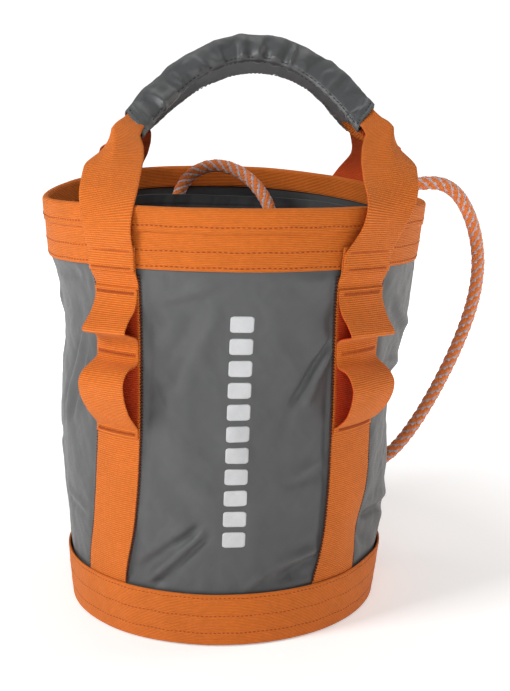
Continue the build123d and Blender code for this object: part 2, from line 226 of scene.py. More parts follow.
# Angles of each centre line at the heights STRAP_Z.
STRAPS = [
    Strap("front_left", seed=1, stretch=0.96, skew=0.050,
          angles=[-48.8, -48.2, -46.6, -44.0, -41.9, -40.2, -39.4, -39.1, -39.2]),
    Strap("front_right", seed=2, stretch=1.05, skew=-0.045,
          angles=[39.9, 40.9, 42.2, 43.0, 42.8, 41.2, 39.0, 37.5, 37.1]),
    Strap("back_left", seed=3, stretch=1.0, skew=-0.03,
          angles=[-137.0, -137.4, -137.8, -138.4, -139.0, -139.6, -140.0, -140.0, -140.0]),
    Strap("back_right", seed=4, stretch=1.0, skew=0.04,
          angles=[137.0, 137.4, 137.8, 138.4, 139.0, 139.6, 140.0, 140.0, 140.0]),
]


def strap_gap(angle, z):
    """Distance along the wall to the nearest strap's centre line."""
    gaps = [np.abs(turn_from(strap.angle(z), angle)) for strap in STRAPS]
    return np.min(np.stack(gaps), 0) * WALL_ARC


# --------------------------------------------------------------------- wall creases
# Angle and height of one end, then of the other, half width, depth (+ ridge, - valley).
CREASES = [
    (-11.5, 111, -34, 62, 4.4, -3.2), (-8, 100, -27.5, 49, 4.0, -2.8),
    (-17, 150, -6, 128, 9.0, 1.5), (-10, 105, -30.5, 55, 3.4, 3.0),
    (-15.5, 112, -31, 76, 4.5, 1.7), (-7.7, 306, -18.8, 228, 6.5, 2.4),
    (-13.5, 300, -24, 236, 6.5, -2.3), (-24.3, 310, -8.9, 322, 5.0, 1.6),
    (-22, 302, -5, 313, 6.0, -1.4), (-10.2, 226, -11.5, 176, 11.0, -2.4),
    (-26.4, 236, -25, 205, 6.0, -2.2), (-26, 300, -25.5, 276, 6.5, -2.4),
    (-27, 170, -17, 120, 7.0, -1.3), (28.2, 272, 17, 216, 2.9, -3.8),
    (30, 266, 19.5, 211, 3.6, 2.3), (17, 216, 14, 190, 4.0, -1.2),
    (19.3, 151, 31.4, 161, 4.5, 1.5), (17.5, 144, 30.5, 153, 4.5, -1.4),
    (29.5, 80, 13.5, 68, 4.2, 2.6), (13.5, 68, 5.5, 53, 3.6, 2.0),
    (30.5, 71, 17, 60, 5.2, -4.8), (29, 61, 22, 58, 5.5, -3.0),
    (30, 92, 20, 84, 5.0, -1.6), (8, 150, 22, 118, 8.0, 1.2),
    (3, 250, 12, 228, 9.0, -1.2), (-57.5, 268, -73, 182, 4.5, 2.6),
    (-60.5, 262, -77, 176, 4.0, -2.6), (-54.5, 250, -66, 188, 3.6, 2.1),
    (-56.5, 247, -69, 184, 3.2, -2.0), (-60, 108, -78, 113, 4.5, 1.7),
    (-60, 100, -78, 104, 4.5, -1.6), (-58, 326, -70, 318, 5.5, -2.4),
    (-82, 300, -96, 246, 5.0, 1.8), (-86, 300, -100, 246, 5.0, -1.8),
    (-84, 160, -104, 138, 5.0, -1.9), (58, 90, 84, 83, 3.6, -3.4),
    (59, 99, 84, 93, 5.0, 2.0), (55, 76, 66, 62, 4.0, -2.4),
    (58, 302, 80, 262, 5.0, 2.4), (56, 294, 78, 253, 5.0, -2.3),
    (60, 226, 88, 206, 5.0, -2.2), (60, 236, 86, 217, 5.0, 1.8),
    (88, 170, 108, 136, 5.5, 1.9), (92, 166, 112, 130, 5.0, -2.0),
    (104, 290, 122, 236, 5.5, -2.2), (100, 290, 118, 238, 5.0, 2.0),
    (112, 92, 126, 64, 4.6, -2.0), (152, 300, 168, 232, 6.0, 2.2),
    (157, 300, 173, 230, 5.0, -2.2), (166, 150, 190, 104, 6.0, 2.0),
    (170, 146, 194, 98, 5.0, -2.2), (-152, 112, -168, 66, 4.5, -2.6),
    (-149, 116, -164, 72, 4.5, 1.9), (-158, 270, -174, 214, 6.0, -2.0),
    (-108, 220, -122, 166, 5.0, 2.0), (-104, 216, -118, 160, 5.0, -2.0),
    (-110, 92, -124, 66, 4.5, -2.2),
]


def wrinkle(angle, z):
    """Height of the free fabric between the sewn straps and bands."""
    angle, z = np.broadcast_arrays(np.asarray(angle, float), np.asarray(z, float))
    height = np.zeros(angle.shape)
    for k, (angle0, z0, angle1, z1, half_width, depth) in enumerate(CREASES):
        run, rise = turn_from(angle0, angle1) * WALL_ARC, z1 - z0
        length = math.hypot(run, rise)
        x, y = turn_from(angle0, angle) * WALL_ARC, z - z0
        along = (x * run + y * rise) / length
        across = (y * run - x * rise) / length
        # The crease wanders a little, widens along its length and fades at both ends.
        across = (across + 2.6 * (noise(along / 17.0 + 40, k * 3.7, k) - 0.5)
                  + 1.6 * np.sin(along / length * 2.6 + k))
        ends = smooth(-9, 12, along) * (1 - smooth(length - 12, length + 9, along))
        width = half_width * (0.72 + 0.45 * np.clip(along / length, 0, 1))
        height += depth * ends * (gauss(across, width) - 0.32 * gauss(across, 2.6 * width))
    # Broad, middling and fine unevenness.
    arc = angle * WALL_ARC
    height += 4.4 * fractal(arc / 44.0, z / 70.0, 3, 3)
    height += 1.2 * fractal((arc + 0.55 * z) / 17.0, (z - 0.2 * arc) / 44.0, 11, 3)
    height += 0.5 * fractal((arc - 0.8 * z) / 8.0, z / 24.0, 23, 2)
    # Gathers where the fabric is caught under the bands.
    low = np.exp(-np.clip(z - 49, 0, None) / 11.0) * noise(arc / 13.0, 5, 37)
    high = np.exp(-np.clip(331 - z, 0, None) / 10.0) * noise(arc / 15.0, 9, 41)
    height += 0.75 * np.sin(arc / 3.1 + 9.0 * noise(arc / 19.0, 0, 31)) * (low + 0.8 * high)
    # Beside a strap the cloth dips before it is pinned down.
    gap = strap_gap(angle, z)
    height -= (1.1 * gauss(gap - 29.0, 3.4) * (0.4 + noise(z / 16.0, 0, 51))
               * smooth(47, 60, z) * (1 - smooth(318, 332, z)))
    free = smooth(23.5, 32.0, gap) * smooth(47.0, 58.0, z) * (1 - smooth(322.0, 335.0, z))
    return 1.3 * height * np.clip(free + 0.08, 0, 1)


# --------------------------------------------------------------------- mesh helpers
# A mesh is (vertices, face arrays, UV arrays); faces of each size have their own array.
def add_piece(name, mesh, mats, node=None, ride="bucket", blend=None,
              face_mats=None, attrs=None):
    verts, faces, uvs = mesh
    corners = np.concatenate([block.ravel() for block in faces])
    sizes = np.concatenate([np.full(len(block), block.shape[1]) for block in faces])
    data = bpy.data.meshes.new(name)
    data.vertices.add(len(verts))
    data.vertices.foreach_set("co", (verts / 1000.0).astype(np.float32).ravel())
    data.loops.add(len(corners))
    data.polygons.add(len(sizes))
    data.loops.foreach_set("vertex_index", corners.astype(np.int32))
    starts = np.append(0, np.cumsum(sizes)[:-1])
    data.polygons.foreach_set("loop_start", starts.astype(np.int32))
    data.polygons.foreach_set("loop_total", sizes.astype(np.int32))
    if face_mats is not None:
        data.polygons.foreach_set("material_index", face_mats.astype(np.int32))
    data.polygons.foreach_set("use_smooth", np.full(len(sizes), True))
    data.update(calc_edges=True)
    flat = np.concatenate([block.reshape(-1, 2) for block in uvs])
    layer = data.uv_layers.new(name="uv")
    layer.data.foreach_set("uv", (flat / 1000.0).astype(np.float32).ravel())
    for key, values in (attrs or {}).items():
        attribute = data.attributes.new(key, "FLOAT", "POINT")
        attribute.data.foreach_set("value", values.astype(np.float32).ravel())
    for mat in mats:
        data.materials.append(mat)
    data.validate()
    ob = bpy.data.objects.new(name, data)
    scene.collection.objects.link(ob)
    if blend:
        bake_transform(ob)
    else:
        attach(ob, ride)
    if node:
        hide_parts(node)


def outward(verts, faces, uvs):
    """A quad mesh wound so that it encloses a positive volume."""
    first, *rest = ((verts - verts.mean(0))[faces[:, k]] for k in range(4))
    volume = sum((first * np.cross(a, b)).sum() for a, b in zip(rest, rest[1:]))
    if volume < 0:
        faces, uvs = faces[:, ::-1], uvs[:, ::-1]
    return verts, [faces], [uvs]


def tube_faces(rows, cols, us, vs, closed=False):
    """Quads and UVs over rows of rings. us and vs are the coordinates of rows and columns."""
    row, col = np.meshgrid(np.arange(rows if closed else rows - 1), np.arange(cols),
                           indexing="ij")
    row = row.reshape(-1, 1) + [0, 1, 1, 0]
    col = col.reshape(-1, 1) + [0, 0, 1, 1]
    return row % rows * cols + col % cols, np.stack([us[row], vs[col]], -1)


def tube(points, us, vs, closed=False):
    """A grid of rings (rows, columns, 3). It closes on itself or gets a cap at each end."""
    rows, cols = points.shape[:2]
    faces, uvs = tube_faces(rows, cols, us, vs, closed)
    if not closed:
        k = np.arange(cols // 2 - 1)
        cap = np.stack([k, k + 1, cols - 2 - k, cols - 1 - k], -1)
        faces = np.concatenate([faces, cap, (cap + (rows - 1) * cols)[:, ::-1]])
        ends = [np.broadcast_to([us[row], 0.0], (len(cap), 4, 2)) for row in (0, rows - 1)]
        uvs = np.concatenate([uvs, *ends])
    return outward(points.reshape(-1, 3), faces, uvs)


def back_faces(rows, cols):
    """Material index 1 on the second half of each ring, 0 elsewhere and on the caps."""
    ring = (np.arange(cols) >= cols // 2).astype(int)
    return np.concatenate([np.tile(ring, rows - 1), np.zeros(2 * (cols // 2 - 1), int)])


def tape_section(start, end, inner, outer, count):
    """Flat tape with rounded edges: (across, through), out on one face, back on the other."""
    radius = (outer - inner) / 2
    middle = (inner + outer) / 2
    edge = np.array([0.12, 0.5]) * radius
    across = np.concatenate([start + edge, np.linspace(start + radius, end - radius, count),
                             end - edge[::-1]])
    share = np.clip(np.minimum(across - start, end - across) / radius, 0, 1)
    thick = radius * np.sqrt(1 - (1 - share) ** 2)
    return np.concatenate([np.stack([across, middle + thick], -1),
                           np.stack([across, middle - thick], -1)[::-1]])


def combine(meshes):
    """Join meshes, keeping one face array for each face size."""
    by_size, start = {}, 0
    for verts, faces, uvs in meshes:
        for block, block_uvs in zip(faces, uvs):
            by_size.setdefault(block.shape[1], []).append((block + start, block_uvs))
        start += len(verts)
    return (np.concatenate([mesh[0] for mesh in meshes]),
            [np.concatenate([block for block, _ in group]) for group in by_size.values()],
            [np.concatenate([uv for _, uv in group]) for group in by_size.values()])


# ------------------------------------------------------------------------ materials
class Look:
    """A Principled material with short ways to add nodes. Lengths in here are metres."""

    def __init__(self, name):
        self.material = bpy.data.materials.new(name)
        self.material.use_nodes = True
        self.tree = self.material.node_tree
        self.tree.nodes.clear()
        output = self.tree.nodes.new("ShaderNodeOutputMaterial")
        self.shader = self.tree.nodes.new("ShaderNodeBsdfPrincipled")
        self.tree.links.new(self.shader.outputs[0], output.inputs[0])

    def put(self, socket, value):
        if isinstance(value, bpy.types.NodeSocket):
            self.tree.links.new(value, socket)
        elif socket.type == "RGBA":
            socket.default_value = (*value, 1.0)
        else:
            socket.default_value = value

    def node(self, kind, inputs=None, **settings):
        """Add a node and return its outputs."""
        node = self.tree.nodes.new("ShaderNode" + kind)
        for key, value in settings.items():
            setattr(node, key, value)
        for key, value in (inputs or {}).items():
            self.put(node.inputs[key], value)
        return node.outputs

    def finish(self, **values):
        """Set Principled inputs, named with underscores for spaces."""
        for key, value in values.items():
            self.put(self.shader.inputs[key.replace("_", " ")], value)
        return self.material

    def math(self, operation, first, second=0.0, clamp=False):
        return self.node("Math", {0: first, 1: second, 2: 0.0}, operation=operation,
                         use_clamp=clamp)[0]

    def add(self, first, second):
        return self.math("ADD", first, second)

    def times(self, first, second):
        return self.math("MULTIPLY", first, second)

    def wave(self, coord, period):
        return self.math("SINE", self.times(coord, 2 * math.pi / period))

    def uv(self):
        outputs = self.node("SeparateXYZ", {0: self.node("UVMap", uv_map="uv")[0]})
        return outputs[0], outputs[1]

    @cached_property
    def coords(self):
        return self.node("TexCoord")["Object"]

    def attribute(self, name):
        return self.node("Attribute", attribute_name=name)["Fac"]

    def noise(self, scale, detail=2.0, rough=0.5, stretch=None):
        coords = self.coords
        if stretch:
            coords = self.node("Mapping", {"Vector": coords, "Scale": stretch})[0]
        return self.node("TexNoise", {"Vector": coords, "Scale": scale, "Detail": detail,
                                      "Roughness": rough})[0]

    def remap(self, value, span=(0.3, 0.7), to=(0.0, 1.0)):
        return self.node("MapRange", dict(enumerate((value, *span, *to))))[0]

    def mix(self, factor, first, second):
        return self.node("Mix", {0: factor, 6: first, 7: second}, data_type="RGBA")[2]

    def bump(self, height, strength, distance):
        return self.node("Bump", {"Strength": strength, "Distance": distance,
                                  "Height": height})[0]


def tint(color, gain, lift=0.0):
    return tuple(min(1.0, channel * gain + lift) for channel in color)


def webbing(name, color, rib_pitch, yarn_pitch, groove_shade_depth, along=False):
    """Ribbed tape; along turns the ribs to follow v. An attribute mixes in painted red shade
    under and inside the loops.
    """
    look = Look(name)
    rib_axis, yarn_axis = look.uv()
    if along:
        rib_axis, yarn_axis = yarn_axis, rib_axis
    cell = look.math("DIVIDE", rib_axis, rib_pitch)
    ribs = look.wave(cell, period=1.0)
    # Yarns shift by half a period from one rib to the next.
    row = look.math("MODULO", look.math("FLOOR", cell), 2.0)
    phase = look.add(look.times(yarn_axis, 2 * math.pi / yarn_pitch), look.times(row, math.pi))
    yarns = look.math("SINE", phase)
    weave = look.add(look.times(ribs, 0.80), look.times(yarns, 0.13))
    weave_span = (-0.9, 0.9)
    height = look.add(weave, look.times(look.noise(scale=2600), 0.5))
    # Painted shade darkens the grooves between the ribs, with large and small cloudy patches.
    groove_shade = look.remap(weave, weave_span, to=(1.0 - groove_shade_depth * 0.42, 1.0))
    patches = look.remap(look.noise(scale=16, detail=3), to=(0.93, 1.05))
    mottle = look.remap(look.noise(scale=240, detail=3, rough=0.6), to=(0.94, 1.05))
    shade = look.times(look.times(groove_shade, patches), mottle)
    worn = look.remap(look.noise(scale=60, detail=4, rough=0.65), span=(0.52, 0.78),
                      to=(0.0, 0.35))
    tone = look.mix(worn, color, tint(color, gain=1.10, lift=0.012))
    # Painted shade: the colour is mixed towards deep red where the tape lies under or inside a
    # tool loop.
    painted_shade_weight = look.times(look.attribute("tuck"), 0.86)
    tone = look.mix(painted_shade_weight, tone, (0.74, 0.050, 0.010))
    return look.finish(
        Base_Color=look.node("VectorMath", {0: tone, "Scale": shade}, operation="SCALE")[0],
        Roughness=look.remap(weave, weave_span, to=(0.80, 0.62)),
        Sheen_Weight=0.10, Sheen_Roughness=0.35, Sheen_Tint=(1.0, 0.74, 0.36),
        Specular_IOR_Level=0.24, Normal=look.bump(height, strength=0.8, distance=0.0005))


def coated(name, color, rough=0.47, specular=0.42, relief=0.16):
    """Coated cloth with a faint weave. "ridge" lightens raised creases."""
    weave_period = 0.55e-3
    look = Look(name)
    warp_wave, weft_wave = (look.wave(axis, weave_period) for axis in look.uv())
    weave = look.times(warp_wave, weft_wave)
    grain = look.noise(scale=900, detail=3, rough=0.6)
    cloud = look.noise(scale=90, detail=4, rough=0.55)
    broad = look.noise(scale=9, detail=3)
    height = look.add(look.times(weave, 0.35),
                      look.add(look.times(grain, 0.5), look.times(cloud, 1.2)))
    lift = look.remap(look.attribute("ridge"), span=(0.3, 2.4), to=(0.0, 0.16))
    dust = look.remap(cloud, span=(0.4, 0.75), to=(0.0, 0.14))
    tone = look.mix(look.remap(broad, to=(0.0, 0.55)), color, tint(color, gain=0.80))
    tone = look.mix(look.math("ADD", lift, dust, clamp=True), tone,
                    tint(color, gain=1.42, lift=0.012))
    return look.finish(
        Base_Color=tone, Roughness=look.remap(grain, to=(rough - 0.05, rough + 0.09)),
        Specular_IOR_Level=specular, Sheen_Weight=0.06,
        Normal=look.bump(height, strength=relief, distance=0.0005))


def thread(name, color):
    """Sewing thread with a slanting twist."""
    look = Look(name)
    along, around = look.uv()
    twist = look.wave(look.add(along, look.times(around, 1.2)), period=0.5e-3)
    # Painted shade darkens the grooves of the twist.
    tone = look.mix(look.remap(twist, span=(-1, 1)), tint(color, gain=0.72), color)
    return look.finish(Base_Color=tone, Roughness=0.62, Specular_IOR_Level=0.25,
                       Normal=look.bump(twist, strength=0.4, distance=0.0001))


def yarn(name, color, groove_shade_gain=0.62):
    """A rope strand: slanting fibres with some fuzz."""
    look = Look(name)
    along, around = look.uv()
    fibres = look.wave(look.add(around, look.times(along, 0.25)), period=0.42e-3)
    height = look.add(look.times(fibres, 0.6), look.noise(scale=1900, detail=3, rough=0.6))
    # Painted shade darkens the grooves between the fibres.
    tone = look.mix(look.remap(height, span=(-0.3, 1.1)), tint(color, gain=groove_shade_gain), color)
    soiled = look.remap(look.noise(scale=70, detail=3), span=(0.35, 0.7), to=(0.0, 0.25))
    tone = look.mix(soiled, tone, tint(color, gain=0.78))
    return look.finish(Base_Color=tone, Roughness=0.62, Sheen_Weight=0.25,
                       Specular_IOR_Level=0.3,
                       Normal=look.bump(height, strength=0.55, distance=0.00022))


def film(name):
    look = Look(name)
    grain = look.noise(scale=1500)
    cloud = look.remap(look.noise(scale=22, detail=3))
    return look.finish(
        Base_Color=look.mix(cloud, (0.44, 0.445, 0.455), (0.56, 0.565, 0.575)),
        Metallic=0.25, Roughness=look.remap(grain, to=(0.26, 0.42)),
        Normal=look.bump(grain, strength=0.10, distance=0.0003))


def nickel(name):
    look = Look(name)
    streaks = look.noise(scale=420, detail=4, rough=0.7, stretch=(1, 1, 9))
    return look.finish(
        Base_Color=look.mix(look.remap(streaks), (0.48, 0.47, 0.45), (0.66, 0.65, 0.62)),
        Metallic=1.0, Roughness=look.remap(streaks, to=(0.22, 0.42)),
        Normal=look.bump(streaks, strength=0.12, distance=0.0002))


def rubber(name, color):
    look = Look(name)
    grain = look.noise(scale=600, detail=4, rough=0.6)
    return look.finish(Base_Color=look.mix(look.remap(grain), tint(color, gain=0.8), color),
                       Roughness=look.remap(grain, to=(0.55, 0.72)),
                       Normal=look.bump(grain, strength=0.3, distance=0.0003))


ORANGE = (0.82, 0.190, 0.0190)
web_mat = webbing("webbing_orange", ORANGE, rib_pitch=1.9e-3, yarn_pitch=2.3e-3, groove_shade_depth=1.0)
band_mat = webbing("band_webbing_orange", ORANGE, rib_pitch=1.45e-3, yarn_pitch=1.5e-3,
                   groove_shade_depth=0.75, along=True)
# A darker red copy of the webbing: painted shade on the tape faces that turn in towards the bag.
inner_face_shade_mat = webbing("webbing_inner_face_painted_shade", (0.66, 0.085, 0.012), rib_pitch=1.9e-3,
                   yarn_pitch=2.3e-3, groove_shade_depth=0.7)
wall_mat = coated("coated_wall_fabric", (0.078, 0.0795, 0.081))
# Darker grey for the lining, also used as painted shade on the inner face of the wall.
lining_and_inner_shade_mat = coated("lining_fabric", (0.050, 0.053, 0.055), rough=0.55, specular=0.3)
grip_mat = coated("grip_fabric", (0.060, 0.062, 0.064), rough=0.36, specular=0.6, relief=0.2)
# A much lighter copy of the grip fabric: painted light on the back sleeve.
grip_back_lit_mat = coated("grip_fabric_back_painted_light", (0.185, 0.190, 0.195), rough=0.46)
thread_mat = thread("orange_thread", (0.37, 0.058, 0.010))
tack_mat = thread("tack_thread", (0.52, 0.096, 0.012))
# Near-black red thread: the strap edge stitches, dark enough to paint the shadow along the strap
# edges.
edge_thread_shadow_mat = thread("edge_thread_and_painted_shadow", (0.115, 0.026, 0.010))
grey_thread_mat = thread("grey_thread", (0.020, 0.021, 0.022))
ROPE_MATS = (yarn("rope_orange_strand", (0.95, 0.235, 0.036), groove_shade_gain=0.72),
             yarn("rope_pale_strand", (0.66, 0.62, 0.68)),
             yarn("rope_core", (0.20, 0.055, 0.02)))
film_mat = film("silver_film")
nickel_mat = nickel("eyelet_nickel")
welt_mat = rubber("welt_cord", (0.05, 0.05, 0.052))
board_mat = rubber("stiffener_board", (0.03, 0.03, 0.032))


# ------------------------------------------------------------------- wall and bands
def wall():
    thickness = 1.6
    angle = steps(-180, 180, 620)
    z = np.concatenate([steps(WALL_Z0, 50, 20), steps(50, 332, 190),
                        np.linspace(332, WALL_Z1 - 0.6, 26)])
    turn = angle[:, None]
    relief = wrinkle(turn, z)
    # Nothing rises past the underside of a sewn strap; the front strip calms the cloth.
    relief = np.where(strap_gap(turn, z) < 26.5, np.minimum(relief, 0.0), relief)
    relief = np.where(np.abs(turn) < 4.6, relief * 0.85, relief)
    points = two_sided(place(turn, z, relief), place(turn, z, relief - thickness))
    # The inner faces take the darker lining grey: painted shade inside the bucket.
    inside = np.arange(2 * len(z)) >= len(z) - 1
    add_piece("wall_panel_fabric",
              tube(points, np.append(angle, 180.0) * WALL_ARC, out_and_back(z), closed=True),
              (wall_mat, lining_and_inner_shade_mat), "wall_panel",
              face_mats=np.tile(inside, len(angle)),
              attrs={"ridge": np.hstack([relief, 0 * relief])})


def band_ripple(seed, amp, z0, z1, strap_rise=0.0):
    """A function giving outward and upward shifts of a band that puckers between its edges."""
    def shifts(angle, z):
        arc = angle * BAND_ARC
        level = np.clip((z - z0) / (z1 - z0), 0, 1)
        gathers = np.sin(arc / 5.2 + 4 * noise(arc / 30, 0, seed)) * noise(arc / 22, 3, seed + 1)
        pucker = amp * (fractal(arc / 26.0, z / 40.0, seed, 3) + 0.35 * gathers)
        bulge = np.clip(pucker + 0.5 * np.sin(np.pi * level), -0.05, 1.4)
        over_strap = np.max(np.stack([gauss(turn_from(centre, angle), 6.6)
                                      for centre in (-40, 40, -140, 140)]), 0)
        out = bulge * smooth(0, 0.12, level) * smooth(0, 0.12, 1 - level)
        return out + strap_rise * over_strap, 0.9 * fractal(arc / 60.0, 0, seed + 5, 2)
    return shifts


top_ripple = band_ripple(61, amp=0.7, z0=TOP_Z0, z1=TOP_Z1)
bottom_ripple = band_ripple(71, amp=0.9, z0=BOTTOM_Z0, z1=BOTTOM_Z1, strap_rise=0.4)


def band(node, section, ripple):
    """A band of tape around the wall. Section columns are z and off."""
    angle = steps(-180, 180, 900)
    turn, z = angle[:, None], section[None, :, 0]
    out, up = ripple(turn, z)
    points = place(turn, z + up, section[:, 1] + out)
    us = np.append(angle, 180.0) * BAND_ARC
    add_piece(node + "_webbing", tube(points, us, closed_length(section), closed=True),
              (band_mat,), node)


def rim_binding():
    """A tape folded over the rim, as one closed section with faint cross ribs."""
    def line(off, start, end, count):
        return [(z, off) for z in np.linspace(start, end, count)]

    outer = line(3.4, RIM_Z0 + 0.6, RIM_Z1 - 5.0, 9)
    crown = [(RIM_Z1 - 3.6 + 3.6 * math.sin(t), (3.4 if t < math.pi / 2 else 3.25) * math.cos(t))
             for t in np.linspace(0.15, math.pi - 0.15, 11)]
    inner = line(-3.25, RIM_Z1 - 5.0, RIM_Z0 + 0.2, 8)
    roof = [(RIM_Z1 - 3.4 + 1.7 * math.sin(t), 1.5 * math.cos(t))
            for t in np.linspace(math.pi - 0.3, 0.3, 5)]
    section = np.array(outer + crown + inner
                       + line(-1.8, RIM_Z0 + 0.2, RIM_Z1 - 3.6, 6) + roof
                       + line(1.9, RIM_Z1 - 3.6, RIM_Z0 + 0.6, 6))
    seen = np.arange(len(section)) < len(outer + crown + inner)
    delta = np.roll(section, -1, 0) - np.roll(section, 1, 0)
    normals = unit(np.stack([delta[:, 1], -delta[:, 0]], -1))
    centre = np.array([RIM_Z1 - 8, 0.0])
    normals *= np.sign(((section - centre) * normals).sum(1))[:, None]

    angle = steps(-180, 180, 2000)
    turn = angle[:, None]
    arc = turn * RIM_ARC
    rib_count = 660
    ribs = 0.035 * np.sin(np.radians(turn) * rib_count + 0.6 * np.sin(arc / 21.0))
    relief = (ribs + 0.5 * fractal(arc / 30.0, section[None, :, 0] / 20.0, 83, 2)) * seen
    z = section[:, 0] + normals[:, 0] * relief + 0.5 * fractal(arc / 44.0, 0, 85, 2)
    off = section[:, 1] + normals[:, 1] * relief
    us = np.append(angle, 180.0) * RIM_ARC
    add_piece("rim_binding_tape",
              tube(place(turn, z, off), us, closed_length(section), closed=True),
              (band_mat,), "rim_binding")


wall()
band("top_band", tape_section(TOP_Z0, TOP_Z1, 0.15, TOP_BAND_OFF, 30), top_ripple)
band("bottom_band", tape_section(BOTTOM_Z0 - 3.5, BOTTOM_Z1, 1.9, 3.7, 30), bottom_ripple)
rim_binding()


# ------------------------------------------------------------- straps and tool loops
def strap_webbing(strap):
    lo, hi = box_mm(strap.name + "_strap")
    heights = np.concatenate([steps(lo[2], 318, 170), np.linspace(318, hi[2], 26)])
    section = tape_section(-HALF_WEB, HALF_WEB, 0.0, 1.6, 20)
    z, across = heights[:, None], section[None, :, 0]
    seed = strap.seed
    wander = 1.2 * fractal(z / 60.0, seed * 3.0, 90 + seed, 2) * (1 - smooth(300, 330, z))
    # The tape cups and its edges curl, and its head rises over the top band.
    cup = 0.8 * np.clip(fractal(z / 32.0, across / 30.0, 95 + seed, 2), -0.1, 1)
    curl = 0.55 * (across / HALF_WEB) ** 4 * (noise(z / 14.0, np.sign(across) * 2.0 + seed, 99)
                                              - 0.35).clip(0)
    cup = (cup + curl) * smooth(50, 70, z) * (1 - smooth(312, 322, z))
    off = 0.15 + 3.85 * smooth(318, 331, z) + section[:, 1] + cup
    points = place(strap.angle(z, across * strap.stretch + wander), z, off)
    # Painted shade: under the tool loops the strap face is mixed towards deep red.
    under_loops = (smooth(256, 268, z) * (1 - smooth(300, 309, z))
                   + smooth(190, 200, z) * (1 - smooth(246, 254, z)))
    tuck = under_loops * (1 - smooth(22.6, 23.6, np.abs(across)))
    add_piece(strap.name + "_strap_webbing", tube(points, heights, closed_length(section)),
              (web_mat,), strap.name + "_strap", attrs={"tuck": tuck})


def spline(keys, at):
    """Catmull-Rom curve through keys, which lie at whole numbers."""
    last = len(keys) - 1
    at = np.clip(at, 0, last)
    i = np.clip(np.floor(at).astype(int), 0, last - 1)
    f = (at - i)[..., None]
    here, ahead = keys[i], keys[i + 1]
    before = np.where((i > 0)[..., None], keys[np.maximum(i - 1, 0)], 2 * here - ahead)
    after = np.where((i < last - 1)[..., None], keys[np.minimum(i + 2, last)],
                     2 * ahead - here)
    return 0.5 * (2 * here + (ahead - before) * f
                  + (2 * before - 5 * here + 4 * ahead - after) * f ** 2
                  + (3 * here - before - 3 * ahead + after) * f ** 3)


# Off and height of the tape that forms the two loops of a strap, from the top down.
LOOP_LINE = [
    (2.9, 316), (2.9, 309.5), (4.6, 303.5), (8.6, 295.5), (14.2, 288.5), (18.6, 282.8),
    (18.4, 279.6), (12, 277), (6, 274.3), (2.9, 269.5), (2.9, 261), (2.9, 254.5),
    (6.5, 250.6), (13, 248), (19, 244), (22.8, 237.5), (23.2, 230.5), (20.6, 221),
    (14.5, 209.5), (7.5, 199), (2.9, 192.5), (2.9, 185.5),
]


def tool_loops(strap):
    keys = np.array(LOOP_LINE, float)
    seed = strap.seed
    # No two sets of loops are worn alike: those on the right hang lower.
    if strap.name.endswith("right"):
        height = keys[:, 1].copy()
        keys[:, 1] -= (7.0 * (1 - smooth(236, 268, height)) * smooth(186, 205, height)
                       + 4.0 * gauss(height - 283, 9))
    line = spline(keys, np.linspace(0, len(keys) - 1, 260))
    tangent = unit(np.gradient(line, axis=0))
    section = tape_section(-HALF_WEB + 0.8, HALF_WEB - 0.8, -0.8, 0.8, 18)
    across, through = section[None, :, 0], section[None, :, 1]
    off = line[:, :1] - tangent[:, 1:] * through
    z = line[:, 1:] + tangent[:, :1] * through
    # Where the tape stands free it bows, one side is pulled out further, and it waves.
    free = smooth(4.5, 15, line[:, :1])
    off = off + free * across * (across / (2 * 160.0) + strap.skew)
    tilt = 0.055 if seed % 2 else -0.055
    z = z + free * (tilt * across + 1.3 * fractal(across / 22.0, z / 18.0, 120 + seed, 2))
    off = off + free * 1.5 * fractal(across / 17.0, z / 15.0, 130 + seed, 2)
    angle = strap.angle(z, across * strap.stretch * (1 - 0.02 * free))
    points = place(angle, z, np.maximum(off, through + 2.75))
    rows, cols = points.shape[:2]
    # Painted shade: the inner faces of the free loops are mixed towards deep red and take the
    # darker red webbing.
    tuck = smooth(3.4, 9, line[:, :1]) * (np.arange(cols) >= cols // 2)
    add_piece(strap.name + "_tool_loops_webbing",
              tube(points, running_length(line), closed_length(section)),
              (web_mat, inner_face_shade_mat), strap.name + "_tool_loops",
              face_mats=back_faces(rows, cols), attrs={"tuck": tuck})


for strap in STRAPS:
    strap_webbing(strap)
    tool_loops(strap)


# ------------------------------------------------------------------------- stitches
def dashes(centres, tangents, normals, length, width, height):
    """Low thread bumps: an elongated bead for each stitch."""
    along = unit(tangents)
    across = unit(np.cross(normals, along))
    up = np.cross(along, across)
    # Six rings of six points: place along the bead, size and lift of each ring.
    reach = np.array([-1.0, -0.8, -0.35, 0.35, 0.8, 1.0])
    size = np.array([0.25, 0.72, 1.0, 1.0, 0.72, 0.25])[:, None]
    lift = np.array([-0.55, -0.1, 0.25, 0.25, -0.1, -0.55])[:, None]
    around = np.arange(6) / 6 * 2 * math.pi
    offsets = [np.broadcast_to(part, (6, 6)).reshape(1, 36, 1) for part in (
        reach[:, None] * length / 2, size * np.cos(around) * width / 2,
        (size * np.sin(around) + lift) * height / 2)]
    points = centres[:, None] + sum(axis[:, None] * part
                                    for axis, part in zip((along, across, up), offsets))
    sides, uvs = tube_faces(6, 6, reach * length / 2, np.arange(7) * 0.4)
    caps = np.stack([np.arange(6), np.arange(35, 29, -1)])
    starts = np.arange(len(centres))[:, None, None] * 36
    # Only the faces are turned round: the UVs keep their order.
    return (points.reshape(-1, 3),
            [(sides[:, ::-1] + starts).reshape(-1, 4), (caps + starts).reshape(-1, 6)],
            [np.tile(uvs, (len(centres), 1, 1)), np.zeros((2 * len(centres), 6, 2))])


